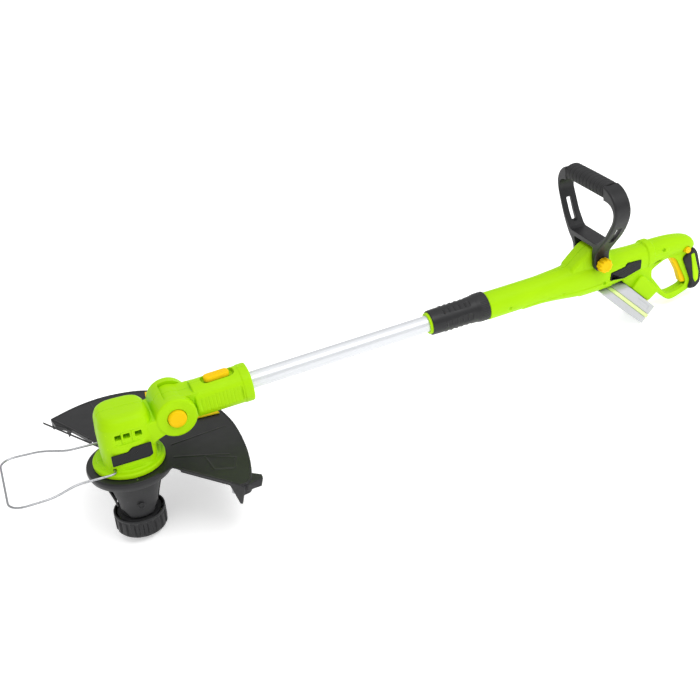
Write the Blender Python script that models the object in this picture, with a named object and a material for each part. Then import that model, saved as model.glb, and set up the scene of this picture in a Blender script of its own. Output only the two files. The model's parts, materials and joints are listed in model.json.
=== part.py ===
"""Cordless string trimmer and lawn edger, as an assembly of separate pieces.

All shapes are worked out in millimetres in the shaft's own frame: X along the
shaft towards the rear handle, Y to the operator's right, Z up, with the origin on
the shaft's axis. The head has a frame of its own, on the spool's axis. The empty
"stance" lays the whole tool on the ground, resting on spool and battery.
"""

import math

import bpy
import bmesh
from mathutils import Matrix, Vector

# Driving dimensions, mm and degrees
TUBE_R = 12.5
TUBE_WALL = 1.2
TUBE_X0, TUBE_X1 = -206.0, 405.0
COLLAR_R = 26.0
COLLAR_X0, COLLAR_X1 = -214.0, -131.0
PIVOT = Vector((-245.0, 0.0, -1.0))
EAR_R = 29.0
EAR_Y0, EAR_Y1 = 22.0, 35.0
LOCK_X0, LOCK_X1 = 150.0, 242.5
HOUSING_X0 = 243.0
HANDLE_PIVOT = Vector((428.0, 0.0, 25.0))
HEAD_O = Vector((-319.0, 0.0, -58.0))
HEAD_LEAN = 4.0
FLANGE_R = 50.3
GUARD_RING_R = 60.0
CAP_R = 37.0
CAP_TOP, CAP_BOTTOM = -86.0, -118.0
WIRE_R = 1.6
WIRE_Z = 7.2
BATTERY_HALF_W = 28.0
STANCE_TILT = 5.118
STANCE_SHIFT = Vector((-62.56, -26.42, 150.572))
SEG = 20

GREEN = ((0.50, 0.80, 0.01, 1.0), 0.38, 0.0)
YELLOW = ((1.0, 0.60, 0.02, 1.0), 0.35, 0.0)
BLACK = ((0.028, 0.028, 0.030, 1.0), 0.50, 0.0)
RUBBER = ((0.018, 0.018, 0.019, 1.0), 0.75, 0.0)
ALU = ((0.86, 0.87, 0.88, 1.0), 0.30, 0.6)
STEEL = ((0.42, 0.42, 0.43, 1.0), 0.32, 1.0)
PALE = ((0.52, 0.52, 0.54, 1.0), 0.45, 0.0)
PALE_GREEN = ((0.80, 0.90, 0.50, 1.0), 0.42, 0.0)
PALE_YELLOW = ((0.95, 0.86, 0.45, 1.0), 0.42, 0.0)
DARK = ((0.05, 0.05, 0.055, 1.0), 0.55, 0.0)
COPPER = ((0.72, 0.36, 0.18, 1.0), 0.35, 1.0)
LINE = ((0.62, 0.78, 0.05, 1.0), 0.35, 0.0)

lean = math.radians(HEAD_LEAN)
HEAD = Matrix.Translation(HEAD_O) @ Matrix.Rotation(lean, 4, "Y")
NONE = Matrix.Identity(4)


# ---------------------------------------------------------------- mesh helpers
def mesh_object(verts, faces):
    mesh = bpy.data.meshes.new("work")
    mesh.from_pydata([tuple(v) for v in verts], [], faces)
    obj = bpy.data.objects.new("work", mesh)
    bpy.context.scene.collection.objects.link(obj)
    bm = bmesh.new()
    bm.from_mesh(mesh)
    bmesh.ops.recalc_face_normals(bm, faces=bm.faces)
    if bm.calc_volume(signed=True) < 0:
        bmesh.ops.reverse_faces(bm, faces=bm.faces)
    bm.to_mesh(mesh)
    bm.free()
    return obj


def moved(obj, matrix):
    obj.data.transform(matrix)
    return obj


def loft(rings):
    """A closed solid through rings of equally many points, with flat ends."""
    n = len(rings[0])
    verts = [p for ring in rings for p in ring]
    faces = []
    for k in range(len(rings) - 1):
        for i in range(n):
            j = (i + 1) % n
            faces.append((k * n + i, k * n + j, (k + 1) * n + j, (k + 1) * n + i))
    faces.append(tuple(range(n)))
    faces.append(tuple(range((len(rings) - 1) * n, len(rings) * n)))
    return mesh_object(verts, faces)


def superellipse(hw, hh, power, n=SEG):
    points = []
    for i in range(n):
        t = 2 * math.pi * (i + 0.5) / n
        c, s = math.cos(t), math.sin(t)
        e = 2.0 / power
        points.append((math.copysign(abs(c) ** e, c) * hw, math.copysign(abs(s) ** e, s) * hh))
    return points


def frame_for(axis):
    """Two directions across an axis letter, so that (a, b, axis) is right-handed."""
    return {
        "X": (Vector((0, 1, 0)), Vector((0, 0, 1)), Vector((1, 0, 0))),
        "Y": (Vector((0, 0, 1)), Vector((1, 0, 0)), Vector((0, 1, 0))),
        "Z": (Vector((1, 0, 0)), Vector((0, 1, 0)), Vector((0, 0, 1))),
    }[axis]


def turned(profile, axis="Z", centre=(0, 0, 0), n=SEG, phase=0.0):
    """A solid or ring turned about an axis; profile is a closed list of (radius, height)."""
    a, b, c = frame_for(axis)
    centre = Vector(centre)
    verts, faces, rows = [], [], []
    for r, h in profile:
        row = []
        if r < 1e-6:
            row = [len(verts)] * n
            verts.append(centre + c * h)
        else:
            for i in range(n):
                t = 2 * math.pi * i / n + phase
                row.append(len(verts))
                verts.append(centre + (a * math.cos(t) + b * math.sin(t)) * r + c * h)
        rows.append(row)
    m = len(rows)
    for k in range(m):
        p, q = rows[k], rows[(k + 1) % m]
        for i in range(n):
            j = (i + 1) % n
            face = []
            for v in (p[i], p[j], q[j], q[i]):
                if v not in face:
                    face.append(v)
            if len(face) > 2:
                faces.append(tuple(face))
    return mesh_object(verts, faces)


def rod(r, h0, h1, axis="Z", centre=(0, 0, 0), n=16, bevel=0.0):
    if bevel:
        profile = [(0, h0), (r - bevel, h0), (r, h0 + bevel), (r, h1 - bevel), (r - bevel, h1), (0, h1)]
    else:
        profile = [(0, h0), (r, h0), (r, h1), (0, h1)]
    return turned(profile, axis, centre, n)


def ring(r0, r1, h0, h1, axis="Z", centre=(0, 0, 0), n=SEG):
    return turned([(r0, h0), (r1, h0), (r1, h1), (r0, h1)], axis, centre, n)


def prism(outline, h0, h1, axis="Y"):
    """An outline pushed along an axis. Along Y the outline is (x, z), along X (y, z), along Z (x, y)."""
    place = {
        "Y": lambda u, v, h: (u, h, v),
        "X": lambda u, v, h: (h, u, v),
        "Z": lambda u, v, h: (u, v, h),
    }[axis]
    return loft([[place(u, v, h0) for u, v in outline], [place(u, v, h1) for u, v in outline]])


def block(x0, x1, y0, y1, z0, z1):
    return prism([(x0, z0), (x1, z0), (x1, z1), (x0, z1)], y0, y1)


def rounded(points, radius, steps=3):
    """The outline with each corner replaced by an arc-like curve."""
    out = []
    n = len(points)
    radii = radius if isinstance(radius, (list, tuple)) else [radius] * n
    for i in range(n):
        p, q, s = Vector(points[i - 1]), Vector(points[i]), Vector(points[(i + 1) % n])
        r = radii[i]
        if r <= 0:
            out.append(tuple(q))
            continue
        a, b = p - q, s - q
        la, lb = min(r, a.length * 0.49), min(r, b.length * 0.49)
        a, b = q + a.normalized() * la, q + b.normalized() * lb
        for k in range(steps + 1):
            t = k / steps
            out.append(tuple(a.lerp(q, t).lerp(q.lerp(b, t), t)))
    return out


def smooth_path(points, per=6):
    """A Catmull-Rom curve through the points."""
    pts = [Vector(p) for p in points]
    pts = [pts[0] * 2 - pts[1]] + pts + [pts[-1] * 2 - pts[-2]]
    out = []
    for i in range(1, len(pts) - 2):
        p0, p1, p2, p3 = pts[i - 1 : i + 3]
        for k in range(per):
            t = k / per
            out.append(
                0.5 * ((2 * p1) + (p2 - p0) * t + (2 * p0 - 5 * p1 + 4 * p2 - p3) * t**2 + (3 * p1 - p0 - 3 * p2 + p3) * t**3)
            )
    out.append(pts[-2])
    return out


def swept(path, r, sides=8):
    """A round bar along a path of points."""
    rings = []
    side = None
    for i, p in enumerate(path):
        d = (path[min(i + 1, len(path) - 1)] - path[max(i - 1, 0)]).normalized()
        if side is None:
            side = d.orthogonal().normalized()
        side = (side - d * side.dot(d)).normalized()
        up = d.cross(side)
        rings.append([p + (side * math.cos(2 * math.pi * k / sides) + up * math.sin(2 * math.pi * k / sides)) * r for k in range(sides)])
    return loft(rings)


def is_closed(mesh):
    """Whether each edge joins exactly two faces."""
    bm = bmesh.new()
    bm.from_mesh(mesh)
    closed = all(len(e.link_faces) == 2 for e in bm.edges)
    bm.free()
    return closed


def combine(a, b, how):
    """Applies one Boolean, exact, or with the manifold solver where the exact one leaves a gap."""
    modifier = a.modifiers.new("b", "BOOLEAN")
    modifier.operation = how
    modifier.object = b
    for solver in ("EXACT", "MANIFOLD"):
        modifier.solver = solver
        bpy.context.view_layer.update()
        graph = bpy.context.evaluated_depsgraph_get()
        mesh = bpy.data.meshes.new_from_object(a.evaluated_get(graph))
        if is_closed(mesh):
            break
    a.modifiers.clear()
    a.data = mesh
    bpy.data.objects.remove(b)
    return a


def union(a, *others):
    for b in others:
        a = combine(a, b, "UNION")
    return a


def cut(a, *others):
    for b in others:
        a = combine(a, b, "DIFFERENCE")
    return a


def half(a, side, gap=0.15, size=900.0):
    """The part of a solid on one side of the split plane y = 0: side -1 or 1."""
    y0, y1 = (gap, size) if side > 0 else (-size, -gap)
    return combine(a, block(-size, size, y0, y1, -size, size), "INTERSECT")


def copy_of(a):
    b = a.copy()
    b.data = a.data.copy()
    bpy.context.scene.collection.objects.link(b)
    return b


def mirrored(a):
    """A copy on the other side of y = 0."""
    b = copy_of(a)
    b.data.transform(Matrix.Scale(-1, 4, Vector((0, 1, 0))))
    b.data.flip_normals()
    return b


# ---------------------------------------------------------------- scene tree
for old in list(bpy.data.objects):
    bpy.data.objects.remove(old)

materials = {}


def material(name, look):
    if name not in materials:
        colour, rough, metal = look
        m = bpy.data.materials.new(name)
        m.use_nodes = True
        shader = m.node_tree.nodes["Principled BSDF"]
        shader.inputs["Base Color"].default_value = colour
        shader.inputs["Roughness"].default_value = rough
        shader.inputs["Metallic"].default_value = metal
        m.diffuse_color = colour
        materials[name] = m
    return materials[name]


def empty(name, at, parent=None, parent_at=Vector((0, 0, 0))):
    e = bpy.data.objects.new(name, None)
    bpy.context.scene.collection.objects.link(e)
    e.location = (Vector(at) - Vector(parent_at)) * 0.001
    if parent:
        e.parent = parent
    return e


stance = empty("stance", (0, 0, 0))
stance.rotation_euler = (0, math.radians(STANCE_TILT), 0)
stance.location = STANCE_SHIFT * 0.001

TRIGGER_PIVOT = Vector((573.0, 0.0, -10.0))
BOLT_AT = Vector((593.0, 0.0, -7.5))
BAT_D = Vector((0.683, 0.0, -0.730)).normalized()
BAT_N = Vector((0.730, 0.0, 0.683)).normalized()


def bat(d, n, y=0.0):
    """A point in the battery's frame: d along its slide, n across it."""
    return BAT_D * d + BAT_N * n + Vector((0, y, 0))


LATCH_AT = bat(413.5, 331.0)
WIRE_PIVOT = HEAD @ Vector((-25.0, 0.0, WIRE_Z))
SPOOL_AT = HEAD @ Vector((0.0, 0.0, -100.0))
BUTTON_AT = Vector((-176.0, 0.0, 24.0))
BODY_AT = {
    "handle": Vector((0, 0, 0)),
    "shaft": Vector((0, 0, 0)),
    "lock": Vector((LOCK_X0, 0, 0)),
    "front": HANDLE_PIVOT,
    "knob": HANDLE_PIVOT,
    "trigger": TRIGGER_PIVOT,
    "safety": BOLT_AT,
    "battery": bat(400, 311),
    "latch": LATCH_AT,
    "collar": Vector((-172, 0, 0)),
    "swivel_button": BUTTON_AT,
    "head": PIVOT,
    "tilt_button": PIVOT + Vector((0, -35, 0)),
    "wire": WIRE_PIVOT,
    "spinner": SPOOL_AT,
}
TREE = {
    "handle": None,
    "shaft": "handle",
    "lock": "handle",
    "front": "handle",
    "knob": "front",
    "trigger": "handle",
    "safety": "handle",
    "battery": "handle",
    "latch": "battery",
    "collar": "shaft",
    "swivel_button": "collar",
    "head": "collar",
    "tilt_button": "head",
    "wire": "head",
    "spinner": "head",
}
holders = {}
for body, up in TREE.items():
    if up:
        holders[body] = empty("joint_" + body, BODY_AT[body], holders[up], BODY_AT[up])
    else:
        holders[body] = empty("joint_" + body, BODY_AT[body], stance)


def piece(name, obj, body, look_name, look):
    """Names a finished solid, scales it to metres and hangs it on its body's empty."""
    origin = BODY_AT[body]
    obj.data.transform(Matrix.Scale(0.001, 4) @ Matrix.Translation(-origin))
    obj.name = name
    obj.data.name = name
    obj.parent = holders[body]
    obj.data.materials.clear()
    obj.data.materials.append(material(look_name, look))
    obj.data.shade_smooth()
    obj.data.set_sharp_from_angle(angle=math.radians(35))
    return obj


def screw_holes(x, y, z, axis, outward, head_r=3.2, shank_r=1.9, length=12.0, sink=1.2):
    """The cutter of one screw: a counterbore and its pilot hole."""
    at = {"X": (0, y, z), "Y": (x, 0, z), "Z": (x, y, 0)}[axis]
    face = {"X": x, "Y": y, "Z": z}[axis]
    lo = face - sink if outward > 0 else face - 6.0
    hi = face + 6.0 if outward > 0 else face + sink
    head = rod(head_r, lo, hi, axis, at, 12)
    lo = face - sink - length if outward > 0 else face + sink - 0.5
    hi = face - sink + 0.5 if outward > 0 else face + sink + length
    return union(head, rod(shank_r, lo, hi, axis, at, 10))


def screw(x, y, z, axis, outward, head_r=2.9, shank_r=1.6, length=11.0, sink=1.2):
    """One pan-head screw with a driver recess, seated in its counterbore."""
    at = {"X": (0, y, z), "Y": (x, 0, z), "Z": (x, y, 0)}[axis]
    face = {"X": x, "Y": y, "Z": z}[axis]
    s = 1 if outward > 0 else -1
    seat = face - s * (sink - 0.3)
    profile = [(0, 0), (shank_r, 0), (shank_r, length), (head_r, length), (head_r, length + 1.2), (head_r - 0.7, length + 1.8), (1.2, length + 1.8), (1.0, length + 0.7), (0, length + 0.7)]
    profile = [(r, seat + s * (h - length)) for r, h in profile]
    return turned(profile if s > 0 else profile[::-1], axis, at, 10)


# ---------------------------------------------------------------- shaft
piece(
    "shaft_tube",
    ring(TUBE_R - TUBE_WALL, TUBE_R, TUBE_X0, TUBE_X1, "X", n=28),
    "shaft",
    "satin_aluminium",
    ALU,
)
piece(
    "tube_end_stop",
    turned([(8.0, 405.4), (16.4, 405.4), (16.4, 411.0), (8.0, 411.0)], "X", n=20),
    "shaft",
    "black_plastic",
    BLACK,
)
piece(
    "swivel_bush",
    turned([(12.8, -200), (17.0, -200), (17.0, -146), (12.8, -146)], "X", n=20),
    "shaft",
    "dark_plastic",
    DARK,
)

# ---------------------------------------------------------------- upper housing
SECTIONS = (
    # x, centre z, half width, half height, squareness
    (243.0, -2.0, 21.0, 21.0, 2.0),
    (330.0, -2.0, 21.0, 21.0, 2.0),
    (350.0, -2.3, 21.6, 22.0, 2.1),
    (372.0, -3.0, 22.6, 24.0, 2.2),
    (392.0, -4.0, 24.0, 26.3, 2.4),
    (440.0, -4.0, 24.0, 26.3, 2.5),
    (470.0, -3.5, 22.5, 25.0, 2.5),
    (500.0, -2.0, 20.0, 22.0, 2.5),
    (530.0, 0.5, 18.3, 19.5, 2.5),
    (560.0, 2.5, 17.0, 16.5, 2.5),
    (585.0, 1.5, 15.8, 14.5, 2.4),
    (603.0, -2.0, 13.5, 12.0, 2.3),
    (611.0, -5.0, 8.5, 6.5, 2.2),
)
LOOP_OUT = [(505, 6), (596, 6), (607, -4), (609, -20), (613, -62), (610, -77), (600, -83), (571, -92), (560, -89), (535, -61), (510, -36)]
LOOP_IN = [(527, -32), (537, -24), (560, -14.5), (577, -19), (597, -66), (592, -75), (566, -80), (556, -76)]
GRIP_OUT = [(601, -13.5), (608, -8), (615, -18), (623, -55), (621, -74), (611, -82), (598, -80), (603, -66), (588, -23)]
NECK = [(478, -8), (530, -8), (526.7, -33.4), (535, -56), (520, -68), (487.3, -41.0), (474, -26.8)]
FOOT = [(503, -24.5), (509, -25), (536, -57), (534, -61), (517, -72.3), (487.3, -41.0)]


def upper_body():
    body = loft([[(x, y, zc + z) for y, z in superellipse(hw, hh, p, SEG)] for x, zc, hw, hh, p in SECTIONS])
    hump = []
    for x, top, hw in ((380, 16, 15), (386, 24, 17.5), (412, 43.5, 19), (422, 48.0, 19.3), (442, 48.0, 19.3), (449, 43, 18.5), (454, 20, 17)):
        outline = rounded([(-hw, -5), (hw, -5), (hw, top), (-hw, top)], [0, 0, 6, 6], 3)
        hump.append([(x, y, z) for y, z in outline])
    loop = cut(prism(rounded(LOOP_OUT, 8), -9.0, 9.0), prism(rounded(LOOP_IN, 9), -20, 20))
    neck = prism(rounded(NECK, [0, 0, 6, 4, 4, 0, 0]), -16.0, 16.0)
    foot = prism(rounded(FOOT, [3, 3, 3, 3, 4, 3]), -21.5, 21.5)
    ridge = loft([[(x, y, zc + z) for y, z in superellipse(hw, hh, 2.5, SEG)] for x, zc, hw, hh in ((517, 0.5, 16.5, 19), (520, 0.5, 20.5, 22.6), (530, 1.5, 20.0, 21.8), (533, 1.5, 16, 18))])
    body = union(body, loft(hump), loop, neck, foot, ridge)
    cuts = [
        rod(16.6, 240, 264, "X", (0, 0, 0), 20),
        rod(17.5, 262, 440, "X", (0, 0, -1.0), 20),
        block(444, 548, -14.5, 14.5, -16, 13),
        block(419, 440, -15.5, 15.5, 33, 42),
        rod(3.5, -40, 40, "Y", HANDLE_PIVOT, 12),
        rod(5.4, -30, 30, "Y", BOLT_AT, 14),
    ]
    # battery slot in the foot
    corners = [bat(343.5, 320), bat(420, 320), bat(420, 333.5), bat(343.5, 333.5)]
    cuts.append(prism([(c.x, c.z) for c in corners], -14.0, 14.0))
    # trigger slot
    cuts.append(prism([(564, -11.5), (577, -5.5), (588, -8), (608, -66), (603, -73.5), (584, -72)], -6.6, 6.6))
    return cut(body, *cuts)


body = upper_body()
left = half(copy_of(body), -1)
right = half(body, 1)
SCREWS = ((275.0, 19.6, -7.0), (365.0, 21.4, -12.0), (436.0, 22.4, -14.0), (548.0, 16.6, 6.0))
for i, (x, y, z) in enumerate(SCREWS):
    right = cut(right, screw_holes(x, y, z, "Y", 1, length=4.0, sink=1.5))
    piece("housing_screw_%d" % (i + 1), screw(x, y, z, "Y", 1, length=3.4, sink=1.5), "handle", "steel", STEEL)
BADGE = [(446.1, -12.8), (448.2, -0.4), (474.2, 1.9), (478.9, 6.3), (505.3, 3.7), (503.4, -11.2), (476.8, -16.2), (471.3, -17.2)]
BADGE = rounded(BADGE, 1.5, 2)


def taper_plate(outline, y_in, y_out, side):
    """A plate on the housing's tapering flank: y_in and y_out are its faces at x = 447."""
    rows = []
    for y in (y_in, y_out):
        rows.append([(x, side * (y - (x - 447.0) * 0.0643), z) for x, z in outline])
    return loft(rows)


left = cut(left, taper_plate(BADGE, 21.6, 40.0, -1))
right = cut(right, taper_plate(BADGE, 21.6, 40.0, 1))
piece("housing_left", left, "handle", "lime_plastic", GREEN)
piece("housing_right", right, "handle", "lime_plastic", GREEN)


def shrunk(outline, d):
    """The outline moved inwards by d, for a convex-ish outline."""
    n = len(outline)
    cx = sum(p[0] for p in outline) / n
    cy = sum(p[1] for p in outline) / n
    area = sum(outline[i - 1][0] * outline[i][1] - outline[i][0] * outline[i - 1][1] for i in range(n))
    s = 1 if area > 0 else -1
    out = []
    for i in range(n):
        p, q, r = (Vector(outline[i - 1]), Vector(outline[i]), Vector(outline[(i + 1) % n]))
        a, b = (q - p).normalized(), (r - q).normalized()
        na, nb = Vector((-a.y, a.x)) * s, Vector((-b.y, b.x)) * s
        m = na + nb
        m = m / max(m.length_squared / 2, 0.5)
        out.append(tuple(q + m * d))
    return out


for side, name in ((-1, "badge_left"), (1, "badge_right")):
    piece(name, taper_plate(shrunk(BADGE, 0.35), 21.95, 24.7, side), "handle", "badge_black", DARK)

piece(
    "guide_bush",
    turned([(12.8, 146.5), (15.8, 146.5), (16.2, 147.0), (16.2, 261.5), (12.8, 261.5)], "X", n=24),
    "handle",
    "lime_plastic",
    GREEN,
)

# black rubber sleeve round the rear grip, open towards the trigger
grip = prism(rounded(GRIP_OUT, 5), -14.5, 14.5)
core = shrunk(rounded(LOOP_OUT, 8), -0.35)
grip = cut(grip, prism(core, -9.4, 9.4))
grip = cut(grip, loft([[(x, y, zc + z) for y, z in superellipse(hw + 0.4, hh + 0.4, p, SEG)] for x, zc, hw, hh, p in SECTIONS[-5:]]))
INLAY = rounded([(601.5, -18.5), (607.5, -17.5), (616.0, -53), (615.3, -65.5), (610, -70.5), (606.0, -62), (603.5, -34)], 1.5, 2)
grip = cut(grip, prism(shrunk(INLAY, -0.35), 13.4, 20), prism(shrunk(INLAY, -0.35), -20, -13.4))
piece("rear_grip", grip, "handle", "black_rubber", RUBBER)
piece("grip_inlay_left", prism(INLAY, -15.0, -13.7), "handle", "lime_plastic", GREEN)
piece("grip_inlay_right", prism(INLAY, 13.7, 15.0), "handle", "lime_plastic", GREEN)

piece("switch_body", block(500, 545, -8, 8, -12, 8), "handle", "dark_plastic", DARK)
piece("control_board", block(450, 494, -12, 12, -9, -6), "handle", "dark_plastic", DARK)
c = [bat(344.2, 327.6), bat(350.4, 327.6), bat(350.4, 333.0), bat(344.2, 333.0)]
piece("terminal_block", prism([(p.x, p.z) for p in c], -13.5, 13.5), "handle", "dark_plastic", DARK)

# ---------------------------------------------------------------- twist lock collar
lock = turned(
    [(16.6, 150.0), (17.6, 149.6), (18.6, 151.0), (18.9, 158), (20.3, 222), (21.6, 227), (22.0, 230), (22.0, 240.5), (21.2, 242.5), (16.6, 242.5)],
    "X",
    n=28,
)
for k in range(6):
    t = math.radians(30 + 60 * k)
    g = block(165, 214, -5.5, 5.5, 19.0, 24.0)
    g.data.transform(Matrix.Rotation(t, 4, "X"))
    lock = cut(lock, g)
piece("lock_collar", lock, "lock", "black_plastic", BLACK)

# ---------------------------------------------------------------- front handle
# the bow stands 8 mm further out on the left than on the right
OUTER = [
    (31, 12), (31, 42), (43, 54), (57, 80), (70, 120), (70, 136), (62, 151), (48, 161), (10, 164), (-20, 164),
    (-60, 162), (-77, 154), (-88, 138), (-88, 119), (-72, 89), (-41, 54), (-31, 42), (-31, 12),
]
INNER = [(36, 62), (50, 82), (65, 120), (62, 134), (52, 140), (-68, 140), (-78, 135), (-81.5, 125), (-78, 112), (-58, 82), (-36, 62)]
LOWER = [(22.9, 0), (22.9, 44), (26, 54), (-26, 54), (-22.9, 44), (-22.9, 0)]
GRIP_Y0, GRIP_Y1 = -56.0, 44.0
frame = prism(rounded(OUTER, [6, 8, 8, 20, 14, 12, 12, 14, 0, 0, 14, 14, 16, 16, 20, 8, 8, 6], 2), 415.0, 441.0, "X")
frame = cut(frame, prism(rounded(INNER, 6, 2), 400, 460, "X"), prism(rounded(LOWER, [0, 4, 4, 4, 4, 0], 2), 400, 460, "X"))
# long slots lighten the legs
frame = cut(frame, prism([(-30, 70), (-58, 100), (-95, 100), (-70, 70)], 424, 432, "X"))
frame = cut(frame, prism([(30, 70), (44, 104), (80, 104), (66, 70)], 424, 432, "X"))
# the grip's core is slimmer
frame = cut(frame, block(436.0, 450, GRIP_Y0, GRIP_Y1, 130, 175), block(400, 420.0, GRIP_Y0, GRIP_Y1, 130, 175))
frame = cut(frame, block(400, 460, GRIP_Y0, GRIP_Y1, 160.0, 175), block(400, 460, GRIP_Y0, GRIP_Y1, 130, 144.0))
for y in (-1, 1):
    frame = cut(frame, rod(3.5, min(y * 20, y * 40), max(y * 20, y * 40), "Y", HANDLE_PIVOT, 12))
# round the ends of the legs about the pivot
EYE_CUT = [(410, 5), (446, 5), (446, 25), (441, 25), (437.2, 15.8), (428, 12), (418.8, 15.8), (415, 25), (410, 25)]
frame = cut(frame, prism(EYE_CUT, -50, 50))
piece("front_handle", frame, "front", "black_plastic", BLACK)
grip_rings = []
count = 10
for k in range(count * 2 + 1):
    y = GRIP_Y0 + 0.3 + (GRIP_Y1 - GRIP_Y0 - 0.6) * k / (count * 2)
    s = 0.0 if (k % 2 == 0) else -0.9
    if k in (0, count * 2):
        s = -0.6
    grip_rings.append([(428 + u, y, 152.0 + v) for u, v in superellipse(14.5 + s, 12.6 + s, 2.4, 16)])
sleeve = loft(grip_rings)
sleeve = cut(sleeve, block(419.6, 436.4, -80, 60, 143.6, 160.4))
piece("front_grip", sleeve, "front", "black_rubber", RUBBER)
bolt = turned([(0, -41), (3.0, -41), (3.0, 31.5), (6.0, 31.5), (6.0, 35.5), (5.2, 36.2), (0, 36.2)], "Y", HANDLE_PIVOT, 12)
piece("handle_bolt", bolt, "front", "steel", STEEL)


def scalloped(r, depth, count, n=40):
    return [(1 - depth * (0.5 - 0.5 * math.cos(count * 2 * math.pi * i / n))) * r for i in range(n)]


def knob_solid():
    rows = []
    for y, r in ((-31.6, 10.4), (-33.0, 11.6), (-40.5, 11.4), (-43.0, 10.0), (-43.6, 8.0)):
        rr = scalloped(r, 0.09, 8)
        rows.append([HANDLE_PIVOT + Vector((math.cos(2 * math.pi * i / 40) * rr[i], y, math.sin(2 * math.pi * i / 40) * rr[i])) for i in range(40)])
    return cut(loft(rows), rod(3.35, -41.5, -20, "Y", HANDLE_PIVOT, 12))


piece("handle_knob", knob_solid(), "knob", "yellow_plastic", YELLOW)

# ---------------------------------------------------------------- trigger, safety bolt
TRIG = [(565.5, -15), (569.5, -13.6), (579, -10.5), (584.5, -12), (600.8, -64.5), (597, -69.3), (588.2, -67.5), (582, -46), (573.5, -28)]
piece("trigger", prism(rounded(TRIG, 2.0, 2), -5.9, 5.9), "trigger", "yellow_plastic", YELLOW)
piece("safety_bolt", rod(5.0, -18.6, 18.6, "Y", BOLT_AT, 16, 1.0), "safety", "yellow_plastic", YELLOW)

# ---------------------------------------------------------------- battery
W = BATTERY_HALF_W


def slab(points, w):
    return prism([(p.x, p.z) for p in points], -w, w)


def line_at_z(n_val, z):
    """The battery-frame d at which the plane n = n_val crosses a height z."""
    return (n_val * BAT_N.z - z) / -BAT_D.z


N0, N1, N2, N3 = 294.1, 304.6, 311.0, 327.0
D_END = 420.6


def layer(n_lo, n_hi, w, z_top, d_end, inset=0.0):
    pts = [
        bat(line_at_z(n_lo, z_top) + inset, n_lo),
        bat(line_at_z(n_hi, z_top) + inset, n_hi),
        bat(d_end, n_hi),
        bat(d_end, n_lo),
    ]
    return slab(pts, w)


tray = layer(N0, N1, W, -32.0, D_END)
tray = cut(tray, layer(N0 + 2.5, N1 + 5, W - 2.5, -36.0, D_END - 2.5, 2.0))
piece("battery_tray", tray, "battery", "battery_grey", PALE)
band = layer(N1 + 0.3, N2 - 0.3, W + 0.5, -31.6, D_END + 0.5)
band = cut(band, layer(N1 - 5, N2 + 5, W - 2.5, -36.0, D_END - 2.5, 2.0))
piece("battery_band", band, "battery", "battery_green", PALE_GREEN)
top = layer(N2, N3, W, -32.0, D_END)
rail = slab([bat(352, N3 - 2), bat(403, N3 - 2), bat(403, 332.8), bat(352, 332.8)], 13.4)
top = union(top, rail)
top = cut(top, layer(N2 - 5, N3 - 2.5, W - 2.5, -36.0, D_END - 2.5, 2.0))
top = cut(top, slab([bat(409, 323.0), bat(418.2, 323.0), bat(418.2, 340), bat(409, 340)], 8.4))
piece("battery_top", top, "battery", "battery_grey", PALE)
piece("cell_pack", layer(N0 + 3.0, N3 - 5.4, W - 3.2, -37.5, D_END - 12.0, 3.5), "battery", "dark_plastic", DARK)
piece("battery_latch", slab([bat(409.4, 325.6), bat(417.8, 325.6), bat(418.4, 342), bat(416.0, 346), bat(411.0, 346), bat(409.4, 343)], 8.0), "latch", "battery_yellow", PALE_YELLOW)

# ---------------------------------------------------------------- lower collar
rings = []
for x, r in ((COLLAR_X0, 23.5), (-212.0, 25.2), (-144.5, 25.8), (-143.5, 26.6), (-133.0, 26.6), (COLLAR_X1, 25.4)):
    rings.append([(x, y, z) for y, z in superellipse(r, r, 2.35, SEG)])
collar = loft(rings)
tongue = prism([(-244.3, -19.3), (-206.5, -17), (-206.5, 19), (-244.3, 20.7)], -20.7, 20.7)
disc = rod(24.6, -21.2, 21.2, "Y", PIVOT, 28)
collar = union(collar, tongue, disc)
collar = cut(
    collar,
    rod(17.4, -205.0, -141.0, "X", n=20),
    rod(12.9, -210.0, -120.0, "X", n=24),
    rod(4.3, -40, 40, "Y", PIVOT, 14),
)
# recess of the swivel button, and the ribbed flanks
slot = prism(rounded([(-198, -10.5), (-150, -10.5), (-150, 10.5), (-198, 10.5)], 8, 3), 19.4, 40, "Z")
collar = cut(collar, slot)
for side in (-1, 1):
    for k in range(12):
        x = -207.3 + 5.2 * k
        collar = cut(collar, block(x, x + 1.6, min(side * 24.4, side * 40), max(side * 24.4, side * 40), -18, 12.5))
cl = half(copy_of(collar), -1)
cr = half(collar, 1)
for i, x in enumerate((-209.5, -139.0)):
    z = 15.0 if i == 0 else 0.0
    y = 20.0 if i == 0 else 26.5
    cr = cut(cr, screw_holes(x, y, z, "Y", 1, head_r=2.6, length=6.0, sink=1.5))
    piece("collar_screw_%d" % (i + 1), screw(x, y, z, "Y", 1, head_r=2.3, length=5.0, sink=1.5), "collar", "steel", STEEL)
piece("collar_left", cl, "collar", "lime_plastic", GREEN)
piece("collar_right", cr, "collar", "lime_plastic", GREEN)
rows = []
for z, g in ((22.4, 0.0), (27.8, 0.0), (29.2, -1.2), (29.6, -3.0)):
    rows.append([(x, y, z) for x, y in rounded([(-193.5 - g, -7.5 - g), (-156.5 + g, -7.5 - g), (-156.5 + g, 7.5 + g), (-193.5 - g, 7.5 + g)], 6.5, 3)])
piece("swivel_button", loft(rows), "swivel_button", "yellow_plastic", YELLOW)

# ---------------------------------------------------------------- head housing
PV = HEAD.inverted() @ PIVOT


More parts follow.
